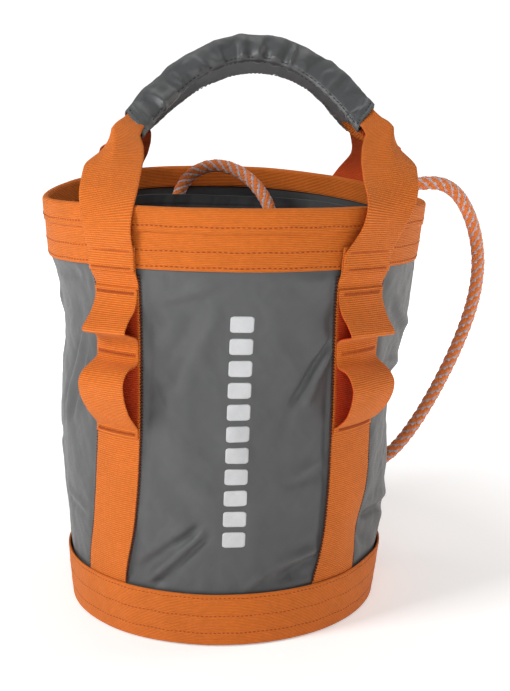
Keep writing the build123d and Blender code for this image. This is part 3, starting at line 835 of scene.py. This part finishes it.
def wall_frame(angle, z, off):
    """Point on the wall, its sideways and upward directions, and its outward normal."""
    side = place(angle + 0.15, z, off) - place(angle - 0.15, z, off)
    up = place(angle, z + 0.4, off) - place(angle, z - 0.4, off)
    return place(angle, z, off), side, up, unit(np.cross(side, up))


def ring_row(height, off, pitch=4.2, ripple=None, phase=0):
    """A row of stitches around the bucket, following a band's ripple."""
    index = np.arange(int(2 * math.pi * 160 / pitch))
    angle = index / len(index) * 360.0 - 180.0
    z = height + 0.25 * np.sin(index * 0.7 + phase)
    if ripple:
        z = z + ripple(angle, z)[1]
        off = off + ripple(angle, z)[0]
    point, side, _, normal = wall_frame(angle, z, off)
    return dashes(point, side, normal, length=pitch * 0.72, width=0.85, height=0.62)


def edge_rows():
    """Stitches along both edges of every strap, as large dark beads that also paint the shadow
    along the edges.
    """
    z = np.arange(52.0, 329.0, 2.8)
    parts = []
    for strap in STRAPS:
        for side in (-1, 1):
            angle = strap.angle(z, side * (HALF_WEB * strap.stretch + 0.45))
            point, level, up, normal = wall_frame(angle, z, 0.9 + 0.9 * smooth(316, 330, z))
            parts.append(dashes(point, level + 0.25 * unit(up), normal,
                                length=3.0, width=1.75, height=2.0))
    return parts


def bar_tack(strap, z0, z1, off):
    """A dense zigzag across the webbing."""
    x = np.linspace(-20.5, 20.5, 46)
    z = np.where(np.arange(46) % 2 == 0, z0, z1)
    angle = strap.angle(z) + np.degrees(x / wall_r((z0 + z1) / 2))
    point, _, _, normal = wall_frame(angle, z, off)
    leg = np.diff(point, axis=0)
    return dashes((point[1:] + point[:-1]) / 2, leg, normal[1:],
                  length=np.linalg.norm(leg, axis=1).mean() * 1.05, width=0.62, height=0.42)


def stitching(name, parts, mat, node=None):
    add_piece(name, combine(parts), (mat,), node)


stitching("top_band_stitch_rows",
          [ring_row(z, 1.80, ripple=top_ripple, phase=66) for z in (TOP_Z0 + 3.2, 348.8)],
          thread_mat, "top_band_stitching")
stitching("binding_stitch_row", [ring_row(RIM_Z0 + 5.4, 3.52, pitch=3.9)], thread_mat,
          "binding_stitching")
stitching("bottom_band_stitch_rows",
          [ring_row(z, 3.56, ripple=bottom_ripple, phase=76)
           for z in (BOTTOM_Z1 - 3.4, 28.9, 12.5)],
          thread_mat, "bottom_band_stitching")
# Edge stitches in near-black thread, also painting the shadow along the strap edges.
stitching("strap_edge_stitching_and_shadow", edge_rows(), edge_thread_shadow_mat)
stitching("tool_loop_bartacks",
          [bar_tack(strap, z, z + 3.4, off=3.85)
           for strap in STRAPS for z in (310.4, 257.4, 187.2)],
          tack_mat, "loop_bartacks")
stitching("strap_head_bartack_rows",
          [bar_tack(strap, z, z + 2.2, off=7.5) for strap in STRAPS for z in (332.2, 346.6)],
          tack_mat, "strap_head_bartacks")


# --------------------------------------------------------------- front silver strip
def silver_strip():
    """A column of film bars with rounded corners, pressed onto the creased wall."""
    count, gap = 11, 5.0
    half_width, corner = 9.8, 2.6
    bar = (STRIP_Z1 - STRIP_Z0 - gap * (count - 1)) / count
    half = bar / 2
    cols, rows = np.linspace(-1, 1, 22), np.linspace(-1, 1, 18)
    x, local_z = cols[:, None], rows * half
    past = np.clip(np.abs(local_z) - (half - corner), 0, None)
    inset = corner - np.sqrt(np.clip(corner ** 2 - past ** 2, 0, None))
    edge = smooth(0.86, 1.0, np.maximum(np.abs(x), np.abs(rows)))
    parts = []
    for i in range(count):
        z = STRIP_Z0 + i * (bar + gap) + half + local_z
        angle = np.degrees(x * (half_width - inset) / wall_r(z))
        relief = wrinkle(angle, z) * 0.85
        points = two_sided(place(angle, z, relief + 0.34 - 0.16 * edge),
                           place(angle, z, relief - 0.5))
        parts.append(tube(points, cols * half_width, out_and_back(rows) * half))
    add_piece("front_silver_strip_bars", combine(parts), (film_mat,),
              "front_reflective_strip")


silver_strip()


# ------------------------------------------------------------------ base and inside
def disc(node, mat, bumps=0.0, seed=0):
    radius, z0, z1 = extent(node)
    radii = np.append(np.linspace(0.02, 1, 26) * (radius - 0.6), radius - 0.15)
    angle = steps(-180, 180, 180)
    rad = np.radians(angle)[:, None]
    x, y = radii * np.sin(rad), -radii * np.cos(rad)
    rise = (bumps * fractal(x / 40.0 + 20, y / 40.0 + 20, seed, 3)
            * smooth(0, 0.1, 1 - radii / radius))
    points = two_sided(np.stack([x, y, z1 + rise], -1), np.stack([x, y, z0 + 0 * x], -1))
    verts, faces, _ = tube(points, np.append(angle, 180.0), out_and_back(radii), closed=True)
    # Planar coordinates suit a flat sheet.
    add_piece(node + "_fabric", (verts, faces, [verts[faces[0]][..., :2]]), (mat,), node)


def welt():
    """The twisted cord around the foot."""
    lo, hi = box_mm("base_welt")
    cord = (hi[2] - lo[2]) / 2
    ring = (hi[0] - lo[0]) / 2 - cord
    degrees = steps(0, 360, 1400)
    turn = np.radians(degrees)[:, None]
    around = np.arange(12) / 12 * 2 * math.pi
    radius = cord * (1 - 0.07 * (1 + np.sin(turn * 420 + around)) / 2)
    reach = ring + radius * np.cos(around)
    points = np.stack([reach * np.cos(turn), reach * np.sin(turn),
                       (hi[2] + lo[2]) / 2 + radius * np.sin(around)], -1)
    add_piece("base_welt_cord",
              tube(points, np.append(degrees, 360.0) * 2.4, np.arange(13) * 0.8, closed=True),
              (welt_mat,), "base_welt")


def pocket():
    """A sheet hanging in folds inside the back wall, with a hem along its top."""
    start, end = 118, 242
    foot_r, mouth_r = 137.1, 141.3
    angle = np.linspace(start, end, 150)
    height = np.concatenate([steps(POCKET_Z0, POCKET_Z1 - 14, 80),
                             np.linspace(POCKET_Z1 - 14, POCKET_Z1, 22)])
    turn, z = angle[:, None], height[None, :]
    share = (z - POCKET_Z0) / (POCKET_Z1 - POCKET_Z0)
    across = (turn - start) / (end - start)
    pinned = smooth(0, 7, turn - start) * smooth(0, 7, end - turn)
    fold = (2.0 * fractal(turn / 9.0, z / 60.0, 14, 3)
            + 1.4 * fractal((turn + z / 9) / 3.5, z / 50.0, 15, 2)
            + 3.0 * np.sin(np.radians(across * 540)) * smooth(0.55, 1.0, share))
    off = foot_r + (mouth_r - foot_r) * share - wall_r(z) + fold.clip(-5, 5) * pinned
    low_z = z - 5.0 * smooth(0.6, 1.0, share) * np.sin(np.pi * across) ** 2
    below = POCKET_Z1 - z
    hem = 0.55 * (1 - smooth(9.5, 10.5, below)) - 0.35 * gauss(below - 9.6, 0.6)
    points = two_sided(place(turn, low_z, off - 0.7 - hem), place(turn, low_z, off + 0.7))
    add_piece("back_pocket_fabric", tube(points, angle * 2.4, out_and_back(height)),
              (lining_and_inner_shade_mat,), "back_pocket_panel")


disc("base_panel", wall_mat)
disc("base_lining", lining_and_inner_shade_mat, bumps=2.2, seed=8)
welt()
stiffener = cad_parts["base_stiffener"]
for material_slot in stiffener.material_slots:
    material_slot.material = board_mat
if not stiffener.material_slots:
    stiffener.data.materials.append(board_mat)
pocket()

# -------------------------------------------------------------------------- handles
# side is -1 for the front handle and 1 for the back. apex is its length from root to top,
# apex_y how far the top stays from the middle. push and right_push move it to +X.
Handle = namedtuple("Handle", "end side apex apex_y push right_push "
                              "grip_start pucker folds seed crown grip")
HANDLES = (
    Handle(end="front", side=-1, apex=189.5, apex_y=14.5, push=10.0, right_push=0.0,
           grip_start=6.05, pucker=2.9, folds=34, seed=41, crown=0.8, grip=grip_mat),
    # The back sleeve uses the lighter copy of the grip fabric, painted light.
    Handle(end="back", side=1, apex=179.0, apex_y=16.5, push=16.0, right_push=21.0,
           grip_start=5.8, pucker=1.0, folds=20, seed=43, crown=0.0, grip=grip_back_lit_mat),
)
GRIP_END = 14.22
STATION = 27.0          # length of tape per station in the grip
KEY_APEX = 205.0
# The right half of a handle, from root to top: x, up and out in its own leaning plane, then
# the direction across the tape on the same axes.
HANDLE_KEYS = np.array([
    (110.0, 0.0, 0.0, 0.766, 0.369, -0.527), (112.5, 11.0, 12.5, 0.80, 0.36, -0.48),
    (114.5, 26.0, 21.0, 0.88, 0.28, -0.38), (114.5, 48.0, 22.5, 0.95, 0.18, -0.20),
    (112.5, 73.0, 19.0, 0.97, 0.20, -0.05), (107.5, 96.0, 11.5, 0.93, 0.36, 0.0),
    (97.5, 121.0, 5.0, 0.83, 0.56, 0.0), (81.0, 150.0, 2.0, 0.66, 0.75, 0.0),
    (57.5, 179.0, 0.6, 0.43, 0.90, 0.0), (30.0, 198.5, 0.1, 0.18, 0.98, 0.0),
    (0.0, KEY_APEX, 0.0, 0.0, 1.0, 0.0)])
MIRROR = np.array([-1, 1, 1, -1, 1, 1])
# How far the tape is folded along its middle, in degrees, by stations from the root.
FOLD_AT = [0, 2.7, 3.7, 4.5, 4.95, 5.35, 5.8, 6.3, 10]
FOLD = np.radians([0, 0, 16, 50, 76, 104, 152, 178, 179])


def stations(handle, at):
    """Centre, direction along, direction across and normal of a handle at stations 0 to 20."""
    sin_lean = (HINGE_Y - handle.apex_y) / handle.apex
    cos_lean = math.cos(math.asin(sin_lean))
    axes = np.array([(1.0, 0.0, 0.0), (0.0, -handle.side * sin_lean, cos_lean),
                     (0.0, handle.side * cos_lean, sin_lean)])
    keys = np.concatenate([HANDLE_KEYS, HANDLE_KEYS[-2::-1] * MIRROR])
    keys[:, 1] *= handle.apex / KEY_APEX
    here = spline(keys, at)
    centre = here[:, :3] @ axes + np.array([0.0, handle.side * HINGE_Y, HINGE_Z])
    ahead = spline(keys, np.minimum(20, at + 0.05)) - spline(keys, np.maximum(0, at - 0.05))
    along = unit(ahead[:, :3] @ axes)
    across = here[:, 3:] @ axes
    across = unit(across - (across * along).sum(1)[:, None] * along)
    normal = unit(np.cross(across, along))
    normal *= np.where(normal[:, 1] * handle.side < 0, -1.0, 1.0)[:, None]
    return centre, along, across, normal


def settle(handle, points, at):
    """Handle points follow the drooping rim at their roots and lean with the bag."""
    at = at.reshape((-1,) + (1,) * (points.ndim - 2))
    x, y, z = np.moveaxis(points, -1, 0)
    root = np.exp(-np.minimum(at, 20 - at) / 3.2)
    low_z = z - droop(np.degrees(np.arctan2(x, -y))) * root
    rise = 1.0 - (1.0 - np.clip((z - HINGE_Z) / 150.0, 0, 1)) ** 2.4
    right = smooth(0.3, 3.0, at) * (1 - smooth(3.0, 6.6, at))
    x = x + handle.push * rise + handle.right_push * right + LEAN * low_z
    return np.stack([x, y, low_z], -1)


def handle_strap(handle):
    end, side = handle.end, handle.side
    at = np.linspace(0.45, 19.55, 330)
    centre, _, across, normal = stations(handle, at)
    from_root = np.minimum(at, 20 - at)[:, None]
    # The tape's section is drawn by integrating its slope across the fold.
    count, fold_reach, half_thick = 41, 1.8, 0.78
    flat = np.linspace(-HALF_WEB, HALF_WEB, count)
    fold = np.interp(from_root, FOLD_AT, FOLD)
    slope = fold * smooth(-fold_reach, fold_reach, flat)

    def integrate(rate):
        areas = 0.5 * (rate[:, 1:] + rate[:, :-1]) * (flat[1] - flat[0])
        return np.pad(np.cumsum(areas, 1), ((0, 0), (1, 0)))

    x, y = integrate(np.cos(slope)), integrate(-np.sin(slope))
    x -= (x.max(1) + x.min(1))[:, None] / 2
    x *= 1 - 0.22 * smooth(5.0, 6.1, from_root)
    y -= y.mean(1)[:, None]
    y += 1.2 * (flat / HALF_WEB) ** 2 * np.sin(at[:, None] * 1.7 + side) * (1 - fold / math.pi)
    thick = np.full(count, half_thick)
    thick[[0, -1]] *= 0.3
    thick[[1, -2]] *= 0.85
    lean_x, lean_y = np.sin(slope) * thick, np.cos(slope) * thick
    lift = 1.75 * (1 - smooth(0.4, 2.6, from_root))
    section_x = two_sided(x + lean_x, x - lean_x)
    section_y = two_sided(y + lean_y, y - lean_y) + lift
    body = settle(handle, centre[:, None] + section_x[..., None] * across[:, None]
                  + section_y[..., None] * normal[:, None], at)

    # The sewn ends lie over the strap heads on the top band.
    z = np.linspace(330.4, 352.0, 16)
    off = np.full(16, 6.55)
    off[0] = 6.3
    around = np.concatenate([flat, flat[::-1]])
    through = np.concatenate([thick, -thick])

    def sewn_end(leg, leg_side):
        strap = next(strap for strap in STRAPS if strap.name == end + leg)
        spread = -side * leg_side * np.degrees(around * strap.stretch / 166.0)
        return place(strap.angle(z)[:, None] + spread, z[:, None], off[:, None] + through)

    points = np.concatenate([sewn_end("_right", 1), body, sewn_end("_left", -1)[::-1]])
    # Relax the bends between the sewn ends and the free tape.
    for _ in range(60):
        for first, last in ((12, 34), (len(points) - 34, len(points) - 12)):
            points[first:last] = (0.5 * points[first:last] + 0.25 * (
                points[first - 1:last - 1] + points[first + 1:last + 1]))
    us = running_length(points[:, count // 2])
    vs = np.concatenate([flat, flat[::-1] + 0.01, flat[:1]])
    root_y, root_z = 0.1311, 0.345      # metres
    # The inward faces of the tape take the darker red webbing, painted shade.
    add_piece(end + "_handle_webbing", tube(points, us, vs), (web_mat, inner_face_shade_mat),
              end + "_handle_strap",
              blend=("bucket", end + "_handle", (0, side * root_y, root_z),
                     (0, side * 0.140, root_z + 0.048)),
              face_mats=back_faces(len(points), 2 * count))


def grip_sleeve(handle):
    """The padded sleeve around the folded tape, and its seam and hem stitches."""
    rows, cols = 300, 60
    half_width, half_thick = 13.6, 4.6
    slant = 0.306       # how far the ends are cut askew, in stations
    start, length = handle.grip_start, (GRIP_END - handle.grip_start) * STATION
    angle = np.arange(cols) / cols * 2 * math.pi + 1e-3
    share = np.linspace(0, 1, rows)
    at = (start + (GRIP_END - start) * share[:, None]
          + np.cos(angle) * slant * (1 - 2 * share[:, None])).ravel()
    centre, _, across, normal = stations(handle, at)
    share_at = np.repeat(share, cols)
    cos, sin = np.tile(np.cos(angle), rows), np.tile(np.sin(angle), rows)
    x = half_width * np.sign(cos) * np.abs(cos) ** 0.8
    y = half_thick * np.sign(sin) * np.abs(sin) ** 0.62

    # Random puckers run in from the lower edge.
    along = (at - 10) * STATION
    rng = np.random.default_rng(handle.seed)
    pucker = np.zeros_like(at)
    for k in range(handle.folds):
        shift, wide, tilt, reach, depth, sign = rng.random(6)
        middle = -108 + 216 * (k + shift) / handle.folds
        across_fold = along - middle - (tilt - 0.5) * 11 * (cos + 1) / 2
        fade = np.clip(1 - (cos + 1) / 2 / (0.55 + 0.75 * reach), 0, 1)
        pucker += ((0.35 + depth) * (1 if sign > 0.4 else -1)
                   * gauss(across_fold, 1.3 + 2.2 * wide) * fade)
    pucker += 1.3 * fractal(along / 15.0, (x + 20 * np.sign(sin)) / 14.0, 150 + handle.side, 3)
    crown = handle.crown * gauss(along - 8, 7) * smooth(0.2, 1.0, cos)
    from_end = np.minimum(share_at, 1 - share_at) * length
    hem = (0.5 * (1 - smooth(8.2, 9.4, from_end)) - 0.42 * gauss(from_end - 3.4, 0.7)
           - 0.30 * gauss(from_end - 9.2, 0.8))
    calm = smooth(2, 16, from_end)
    swell = np.maximum(handle.pucker * pucker, -1.1) * calm + hem
    wave = (1.5 * fractal(along / 13.0, 3, 170 + handle.side, 3) * calm
            * smooth(-0.2, 0.9, cos) * handle.pucker)
    x = x * (1 + 0.03 * pucker * calm) + crown + wave
    # The closing seam pinches the lower edge into a thin fin.
    y = (y + np.sign(sin) * swell * np.abs(sin) ** 0.4) * (1 - 0.35 * smooth(-0.70, -1.0, cos))

    def skin(scale_x, scale_y):
        return settle(handle, centre + (x * scale_x)[:, None] * across
                      + (y * scale_y)[:, None] * normal, at)

    # The outer and inner skins are joined by a ring of faces at each end.
    faces, uvs = tube_faces(rows, cols, share * length, np.arange(cols + 1) * 0.8)
    inner = rows * cols
    k = np.arange(cols)
    ring = np.stack([k, (k + 1) % cols, (k + 1) % cols + inner, k + inner], -1)
    last_ring = ring[:, [0, 3, 2, 1]] + (rows - 1) * cols
    mesh = outward(np.concatenate([skin(1.0, 1.0), skin(0.90, 0.66)]),
                   np.concatenate([faces, faces[:, ::-1] + inner, ring, last_ring]),
                   np.concatenate([uvs, uvs[:, ::-1], np.zeros((2 * cols, 4, 2))]))
    body = handle.end + "_handle"
    add_piece(handle.end + "_grip_sleeve_fabric", mesh, (handle.grip,),
              handle.end + "_grip_sleeve", ride=body,
              attrs={"ridge": np.concatenate([pucker, 0 * pucker])})

    parts = []
    seam = np.arange(6.1, 13.9, 0.145)
    centre, along, across, normal = stations(handle, seam)
    for face in (1, -1):
        point = settle(handle, centre - 11.9 * across + face * 2.9 * normal, seam)
        parts.append(dashes(point, along, face * normal, length=2.8, width=0.8, height=0.7))
    for end, inward in ((start, 1), (GRIP_END, -1)):
        x = np.arange(-10.5, 11.5, 3.3)
        row = end + inward * (slant * x / half_width + 3.4 / STATION)
        centre, _, across, normal = stations(handle, row)
        for face in (1, -1):
            point = settle(handle, centre + x[:, None] * across
                           + face * half_thick * 0.96 * normal, row)
            parts.append(dashes(point, across, face * normal,
                                length=2.3, width=0.75, height=0.7))
    add_piece(handle.end + "_grip_seam_stitches", combine(parts), (grey_thread_mat,),
              handle.end + "_grip_seam", ride=body)


for handle in HANDLES:
    handle_strap(handle)
    grip_sleeve(handle)


# ----------------------------------------------------------------------------- rope
def bspline(points, count):
    """Uniform cubic B-spline, with count points for each span."""
    keys = np.concatenate([[2 * points[0] - points[1]], points, [2 * points[-1] - points[-2]]])
    f = (np.arange(count) / count)[:, None]
    weights = np.hstack([(1 - f) ** 3, 3 * f ** 3 - 6 * f * f + 4,
                         -3 * f ** 3 + 3 * f * f + 3 * f + 1, f ** 3]) / 6
    spans = [weights @ keys[i - 1:i + 3] for i in range(1, len(keys) - 2)]
    return np.concatenate(spans + [points[-1:]])


def rope_course(line, step):
    """Even points along a line, their distances and two directions square to it."""
    length = running_length(line)
    distance = np.linspace(0, length[-1], max(4, int(length[-1] / step)))
    path = np.stack([np.interp(distance, length, line[:, k]) for k in range(3)], -1)
    tangent = unit(np.gradient(path, axis=0))
    side = np.zeros_like(path)
    first = np.cross(tangent[0], [0, 0, 1.0])
    if np.linalg.norm(first) < 0.1:
        first = np.cross(tangent[0], [1.0, 0, 0])
    side[0] = unit(first)
    for i in range(1, len(path)):
        side[i] = unit(side[i - 1] - (side[i - 1] @ tangent[i]) * tangent[i])
    return path, distance, side, np.cross(tangent, side)


BRAID_PITCH, BRAID_R, BRAID_SWING = 38.0, 5.2, 0.5
STRAND_HALF_WIDTH, STRAND_HALF_THICK = 1.72, 1.0
CORE_R = 4.35


def rope_piece(name, course, node=None, blend=None, sides=6):
    """A 16-strand braid over a core: eight strands each way, four of one way pale."""
    path, distance, side, up = course
    orange, pale = [], []
    around = np.arange(sides) / sides * 2 * math.pi
    vs = np.arange(sides + 1) * (7.6 / sides)
    swing = BRAID_SWING * np.cos(16 * math.pi * distance / BRAID_PITCH)
    for way in (1, -1):
        for k in range(8):
            start = k if way > 0 else k + 0.5
            turn = 2 * math.pi * (start / 8 + way * distance / BRAID_PITCH)
            radius = BRAID_R + way * swing * (-1) ** k
            radial = np.cos(turn)[:, None] * side + np.sin(turn)[:, None] * up
            centre = path + radial * radius[:, None]
            lateral = unit(np.cross(unit(np.gradient(centre, axis=0)), radial))
            points = (centre[:, None]
                      + lateral[:, None] * (np.cos(around) * STRAND_HALF_WIDTH)[:, None]
                      + radial[:, None] * (np.sin(around) * STRAND_HALF_THICK)[:, None])
            group = pale if way > 0 and k % 2 == 0 else orange
            group.append(tube(points, distance, vs))
    around = (np.arange(14) / 14 * 2 * math.pi)[:, None]
    points = path[:, None] + CORE_R * (np.cos(around) * side[:, None]
                                       + np.sin(around) * up[:, None])
    core = tube(points, distance, np.arange(15) * 2.0)
    face_mats = [np.full(len(mesh[1][0]), index)
                 for index, group in enumerate((orange, pale, [core])) for mesh in group]
    add_piece(name, combine(orange + pale + [core]), ROPE_MATS, node, blend=blend,
              face_mats=np.concatenate(face_mats))


def polar(radius, theta, z):
    """A point from its radius and its angle from +X towards +Y."""
    theta = math.radians(theta)
    return radius * math.cos(theta), radius * math.sin(theta), z


# The eyelet, low on the right towards the back, where the bow goes through the wall.
EYELET_ANGLE, EYELET_Z = 120.0, 85.0
_rad, _tilt = math.radians(EYELET_ANGLE), math.atan(SLOPE)
eyelet_out = np.array([math.sin(_rad) * math.cos(_tilt), -math.cos(_rad) * math.cos(_tilt),
                       -math.sin(_tilt)])
eyelet_side = unit(np.cross(eyelet_out, [0, 0, 1.0]))
eyelet_up = np.cross(eyelet_out, eyelet_side)
eyelet_pos = place(EYELET_ANGLE, EYELET_Z, 0.0)
cad_eyelet = np.array([wall_r(EYELET_Z) * math.sin(_rad), -wall_r(EYELET_Z) * math.cos(_rad),
                       EYELET_Z])
ROPE_THETA, ROPE_RIM_Z = 14.9, RIM_Z1 + 7.9     # where the rope crosses the rim


def rope_bow():
    """From the rim, out in a wide bow and down into the eyelet, in two halves."""
    line = np.array([
        polar(177.2, ROPE_THETA, ROPE_RIM_Z), polar(184.0, ROPE_THETA, ROPE_RIM_Z),
        polar(193.0, ROPE_THETA, ROPE_RIM_Z - 0.8),
        (199.0, 52.0, 387.5), (213.5, 54.5, 375.0), (227.5, 57.5, 350.0), (236.5, 60.0, 320.0),
        (240.0, 62.5, 292.0), (238.5, 65.0, 262.0), (230.5, 68.0, 226.0), (215.5, 71.5, 186.0),
        (196.0, 75.0, 145.0), (176.0, 79.0, 112.0), (160.5, 84.5, 93.0),
        *(cad_eyelet + reach * eyelet_out for reach in (17, 10, 4))])
    # The ends follow the settled rim and eyelet, and the middle swings to +X.
    share = np.linspace(0, 1, len(line))[:, None]
    swing = np.sin(math.pi * np.clip(share * 1.02, 0, 1)).clip(0) ** 0.8
    line = (line + (warp(line[0]) - line[0]) * (1 - smooth(0.0, 0.62, share))
            + (eyelet_pos - cad_eyelet) * smooth(0.55, 1.0, share)
            + np.array([11.0, 0, 0]) * swing)
    course = rope_course(bspline(line, 12), step=1.3)
    path = course[0]
    half = len(path) // 2

    def blend(start, end):
        return "bucket", "rope_bow", tuple(path[start] / 1000.0), tuple(path[end] / 1000.0)

    rope_piece("rope_bow_upper_half", [part[:half + 1] for part in course], "rope_outer_bow",
               blend(4, int(half * 0.42)), sides=8)
    rope_piece("rope_bow_lower_half", [part[half:] for part in course], None,
               blend(-4, half + int((len(path) - half) * 0.55)), sides=8)


def stored_rope():
    """Over the rim, down inside, around the base, up the back and over into the pocket."""
    line = [polar(radius, ROPE_THETA, z) for radius, z in (
        (175.8, ROPE_RIM_Z), (171.0, ROPE_RIM_Z), (163.0, ROPE_RIM_Z),
        (153.5, 388.0), (151.0, 374.0), (151.5, 355.0))]
    line += [polar(wall_r(z) - 11.1 - 8.0 * gauss(z - 200, 50),
                   ROPE_THETA - 0.02 * (325 - z), z) for z in (325, 280, 230, 180, 130, 90, 60)]
    line += [polar(129.5, 8.0, 38.0), polar(127.0, 2.0, 22.0), polar(124.5, -8.0, 14.8)]
    line += [polar(122.5, -8.0 - 18.2 * i, 14.8 + 0.25 * i + 1.6 * max(0, i - 10))
             for i in range(1, 15)]
    line += [polar(120.0, 85.0, 27.0), polar(118.0, 77.0, 45.0), polar(116.0, 74.0, 75.0)]
    line += [polar(116.0 - (z - 75) * 0.06, 74.0 - (z - 75) * 0.008, z)
             for z in (115, 160, 205, 250, 300)]
    line += [(45.0, 90.5, 338.0), (37.0, 96.5, 362.0), (18.0, 110.5, 382.0),
             (-7.0, 125.5, 391.0), (-32.0, 137.5, 385.0), (-49.0, 142.5, 365.0),
             (-53.0, 141.8, 342.0), (-53.0, 140.5, 318.0)]
    rope_piece("rope_stored_braid", rope_course(bspline(warp(line), 8), step=2.0),
               "rope_stored_length")


def eyelet_ring(name, node, inner_r, outer_r, back, front, squareness):
    """A rolled metal ring around the eyelet; back and front are off the wall."""
    t = steps(0, 2 * math.pi, 26)
    cos, sin = np.cos(t), np.sin(t)
    radius = ((inner_r + outer_r) / 2
              + (outer_r - inner_r) / 2 * np.sign(cos) * np.abs(cos) ** 0.7)
    out = (back + front) / 2 + (front - back) / 2 * np.sign(sin) * np.abs(sin) ** squareness
    turn = (np.arange(64) / 64 * 2 * math.pi)[:, None, None]
    points = (eyelet_pos + radius[:, None] * (np.cos(turn) * eyelet_side
                                              + np.sin(turn) * eyelet_up)
              + out[:, None] * eyelet_out)
    add_piece(name, tube(points, np.arange(65.0), closed_length(np.stack([radius, out], -1)),
                         closed=True), (nickel_mat,), node)


def stopper_knot():
    """The same cord wound over itself inside the wall."""
    share = np.linspace(0, 1, 150)[:, None]
    turn = 4 * math.pi * share
    radius = 5.6 * np.sin(math.pi * np.clip(share * 1.15 - 0.02, 0, 1)) ** 0.5
    line = (eyelet_pos + (4.0 - 22.0 * share + 4.0 * np.sin(turn)) * eyelet_out
            + radius * (np.cos(turn) * eyelet_side + np.sin(turn) * eyelet_up))
    rope_piece("rope_stopper_knot_braid", rope_course(line, step=1.3), "rope_stopper_knot")


rope_bow()
stored_rope()
eyelet_ring("rope_eyelet_ring", "rope_eyelet", inner_r=6.9, outer_r=12.5,
            back=0.5, front=2.3, squareness=0.8)
eyelet_ring("rope_eyelet_back_washer", "rope_eyelet_washer", inner_r=8.0, outer_r=12.0,
            back=-3.3, front=-2.1, squareness=0.7)
stopper_knot()


# ---------------------------------------- floor, lights, world and camera (in metres)
def floor():
    """White paper that glows more strongly away from the bucket."""
    half, z = 6.0, -0.0004
    data = bpy.data.meshes.new("studio_floor")
    corners = [(-half, -half, z), (half, -half, z), (half, half, z), (-half, half, z)]
    data.from_pydata(corners, [], [(0, 1, 2, 3)])
    ob = bpy.data.objects.new("studio_floor", data)
    scene.collection.objects.link(ob)
    look = Look("floor_paper")
    distance = look.node("VectorMath", {0: look.coords}, operation="LENGTH")["Value"]
    far = look.remap(distance, span=(0.30, 0.85))
    grain = look.remap(look.noise(scale=300))
    data.materials.append(look.finish(
        Base_Color=look.mix(grain, (0.86, 0.86, 0.86), (0.88, 0.88, 0.88)),
        Roughness=0.9, Specular_IOR_Level=0.1, Emission_Color=(1, 1, 1),
        Emission_Strength=look.remap(far, span=(0, 1), to=(0.38, 0.95))))


def area_light(name, at, size, power, target_z=0.2, color=(1, 1, 1)):
    """A rectangular light aimed at a point on the bucket's axis."""
    light = bpy.data.lights.new(name, "AREA")
    light.shape = "RECTANGLE"
    light.size, light.size_y = size
    light.energy = power
    light.color = color
    ob = bpy.data.objects.new(name, light)
    ob.location = at
    aim = Vector((0, 0, target_z)) - Vector(at)
    ob.rotation_euler = aim.to_track_quat("-Z", "Y").to_euler()
    scene.collection.objects.link(ob)


def studio_world():
    """White surroundings, dim as a light but bright where the camera sees them."""
    light_strength, seen_strength = 0.21, 1.05
    world = bpy.data.worlds.new("studio_world")
    scene.world = world
    world.use_nodes = True
    nodes, link = world.node_tree.nodes, world.node_tree.links.new
    nodes.clear()
    output = nodes.new("ShaderNodeOutputWorld")
    mix = nodes.new("ShaderNodeMixShader")
    rays = nodes.new("ShaderNodeLightPath")
    link(rays.outputs["Is Camera Ray"], mix.inputs[0])
    for index, strength in ((1, light_strength), (2, seen_strength)):
        background = nodes.new("ShaderNodeBackground")
        background.inputs[0].default_value = (1, 1, 1, 1)
        background.inputs[1].default_value = strength
        link(background.outputs[0], mix.inputs[index])
    link(mix.outputs[0], output.inputs[0])


def camera():
    data = bpy.data.cameras.new("camera")
    data.lens = 70.57
    data.sensor_width = 36.0
    data.clip_end = 50
    ob = bpy.data.objects.new("camera", data)
    ob.location = (-0.049, -1.2219, 0.5251)
    tilt_down, turn = 13.42, -3.76
    ob.rotation_euler = (math.radians(90 - tilt_down), 0, math.radians(turn))
    scene.collection.objects.link(ob)
    scene.camera = ob


floor()
area_light("key_soft", at=(-1.75, -0.95, 1.45), size=(0.75, 0.75), power=36, target_z=0.22)
area_light("fill_front", at=(-0.2, -2.1, 1.25), size=(1.1, 0.9), power=9)
area_light("top_soft", at=(0.1, 0.6, 1.9), size=(1.4, 1.0), power=6)
area_light("side_right", at=(1.7, 0.2, 0.8), size=(0.7, 1.1), power=8.5,
           color=(1.0, 0.93, 0.84))
studio_world()
scene.view_settings.view_transform = "Standard"
scene.view_settings.look = "None"
camera()
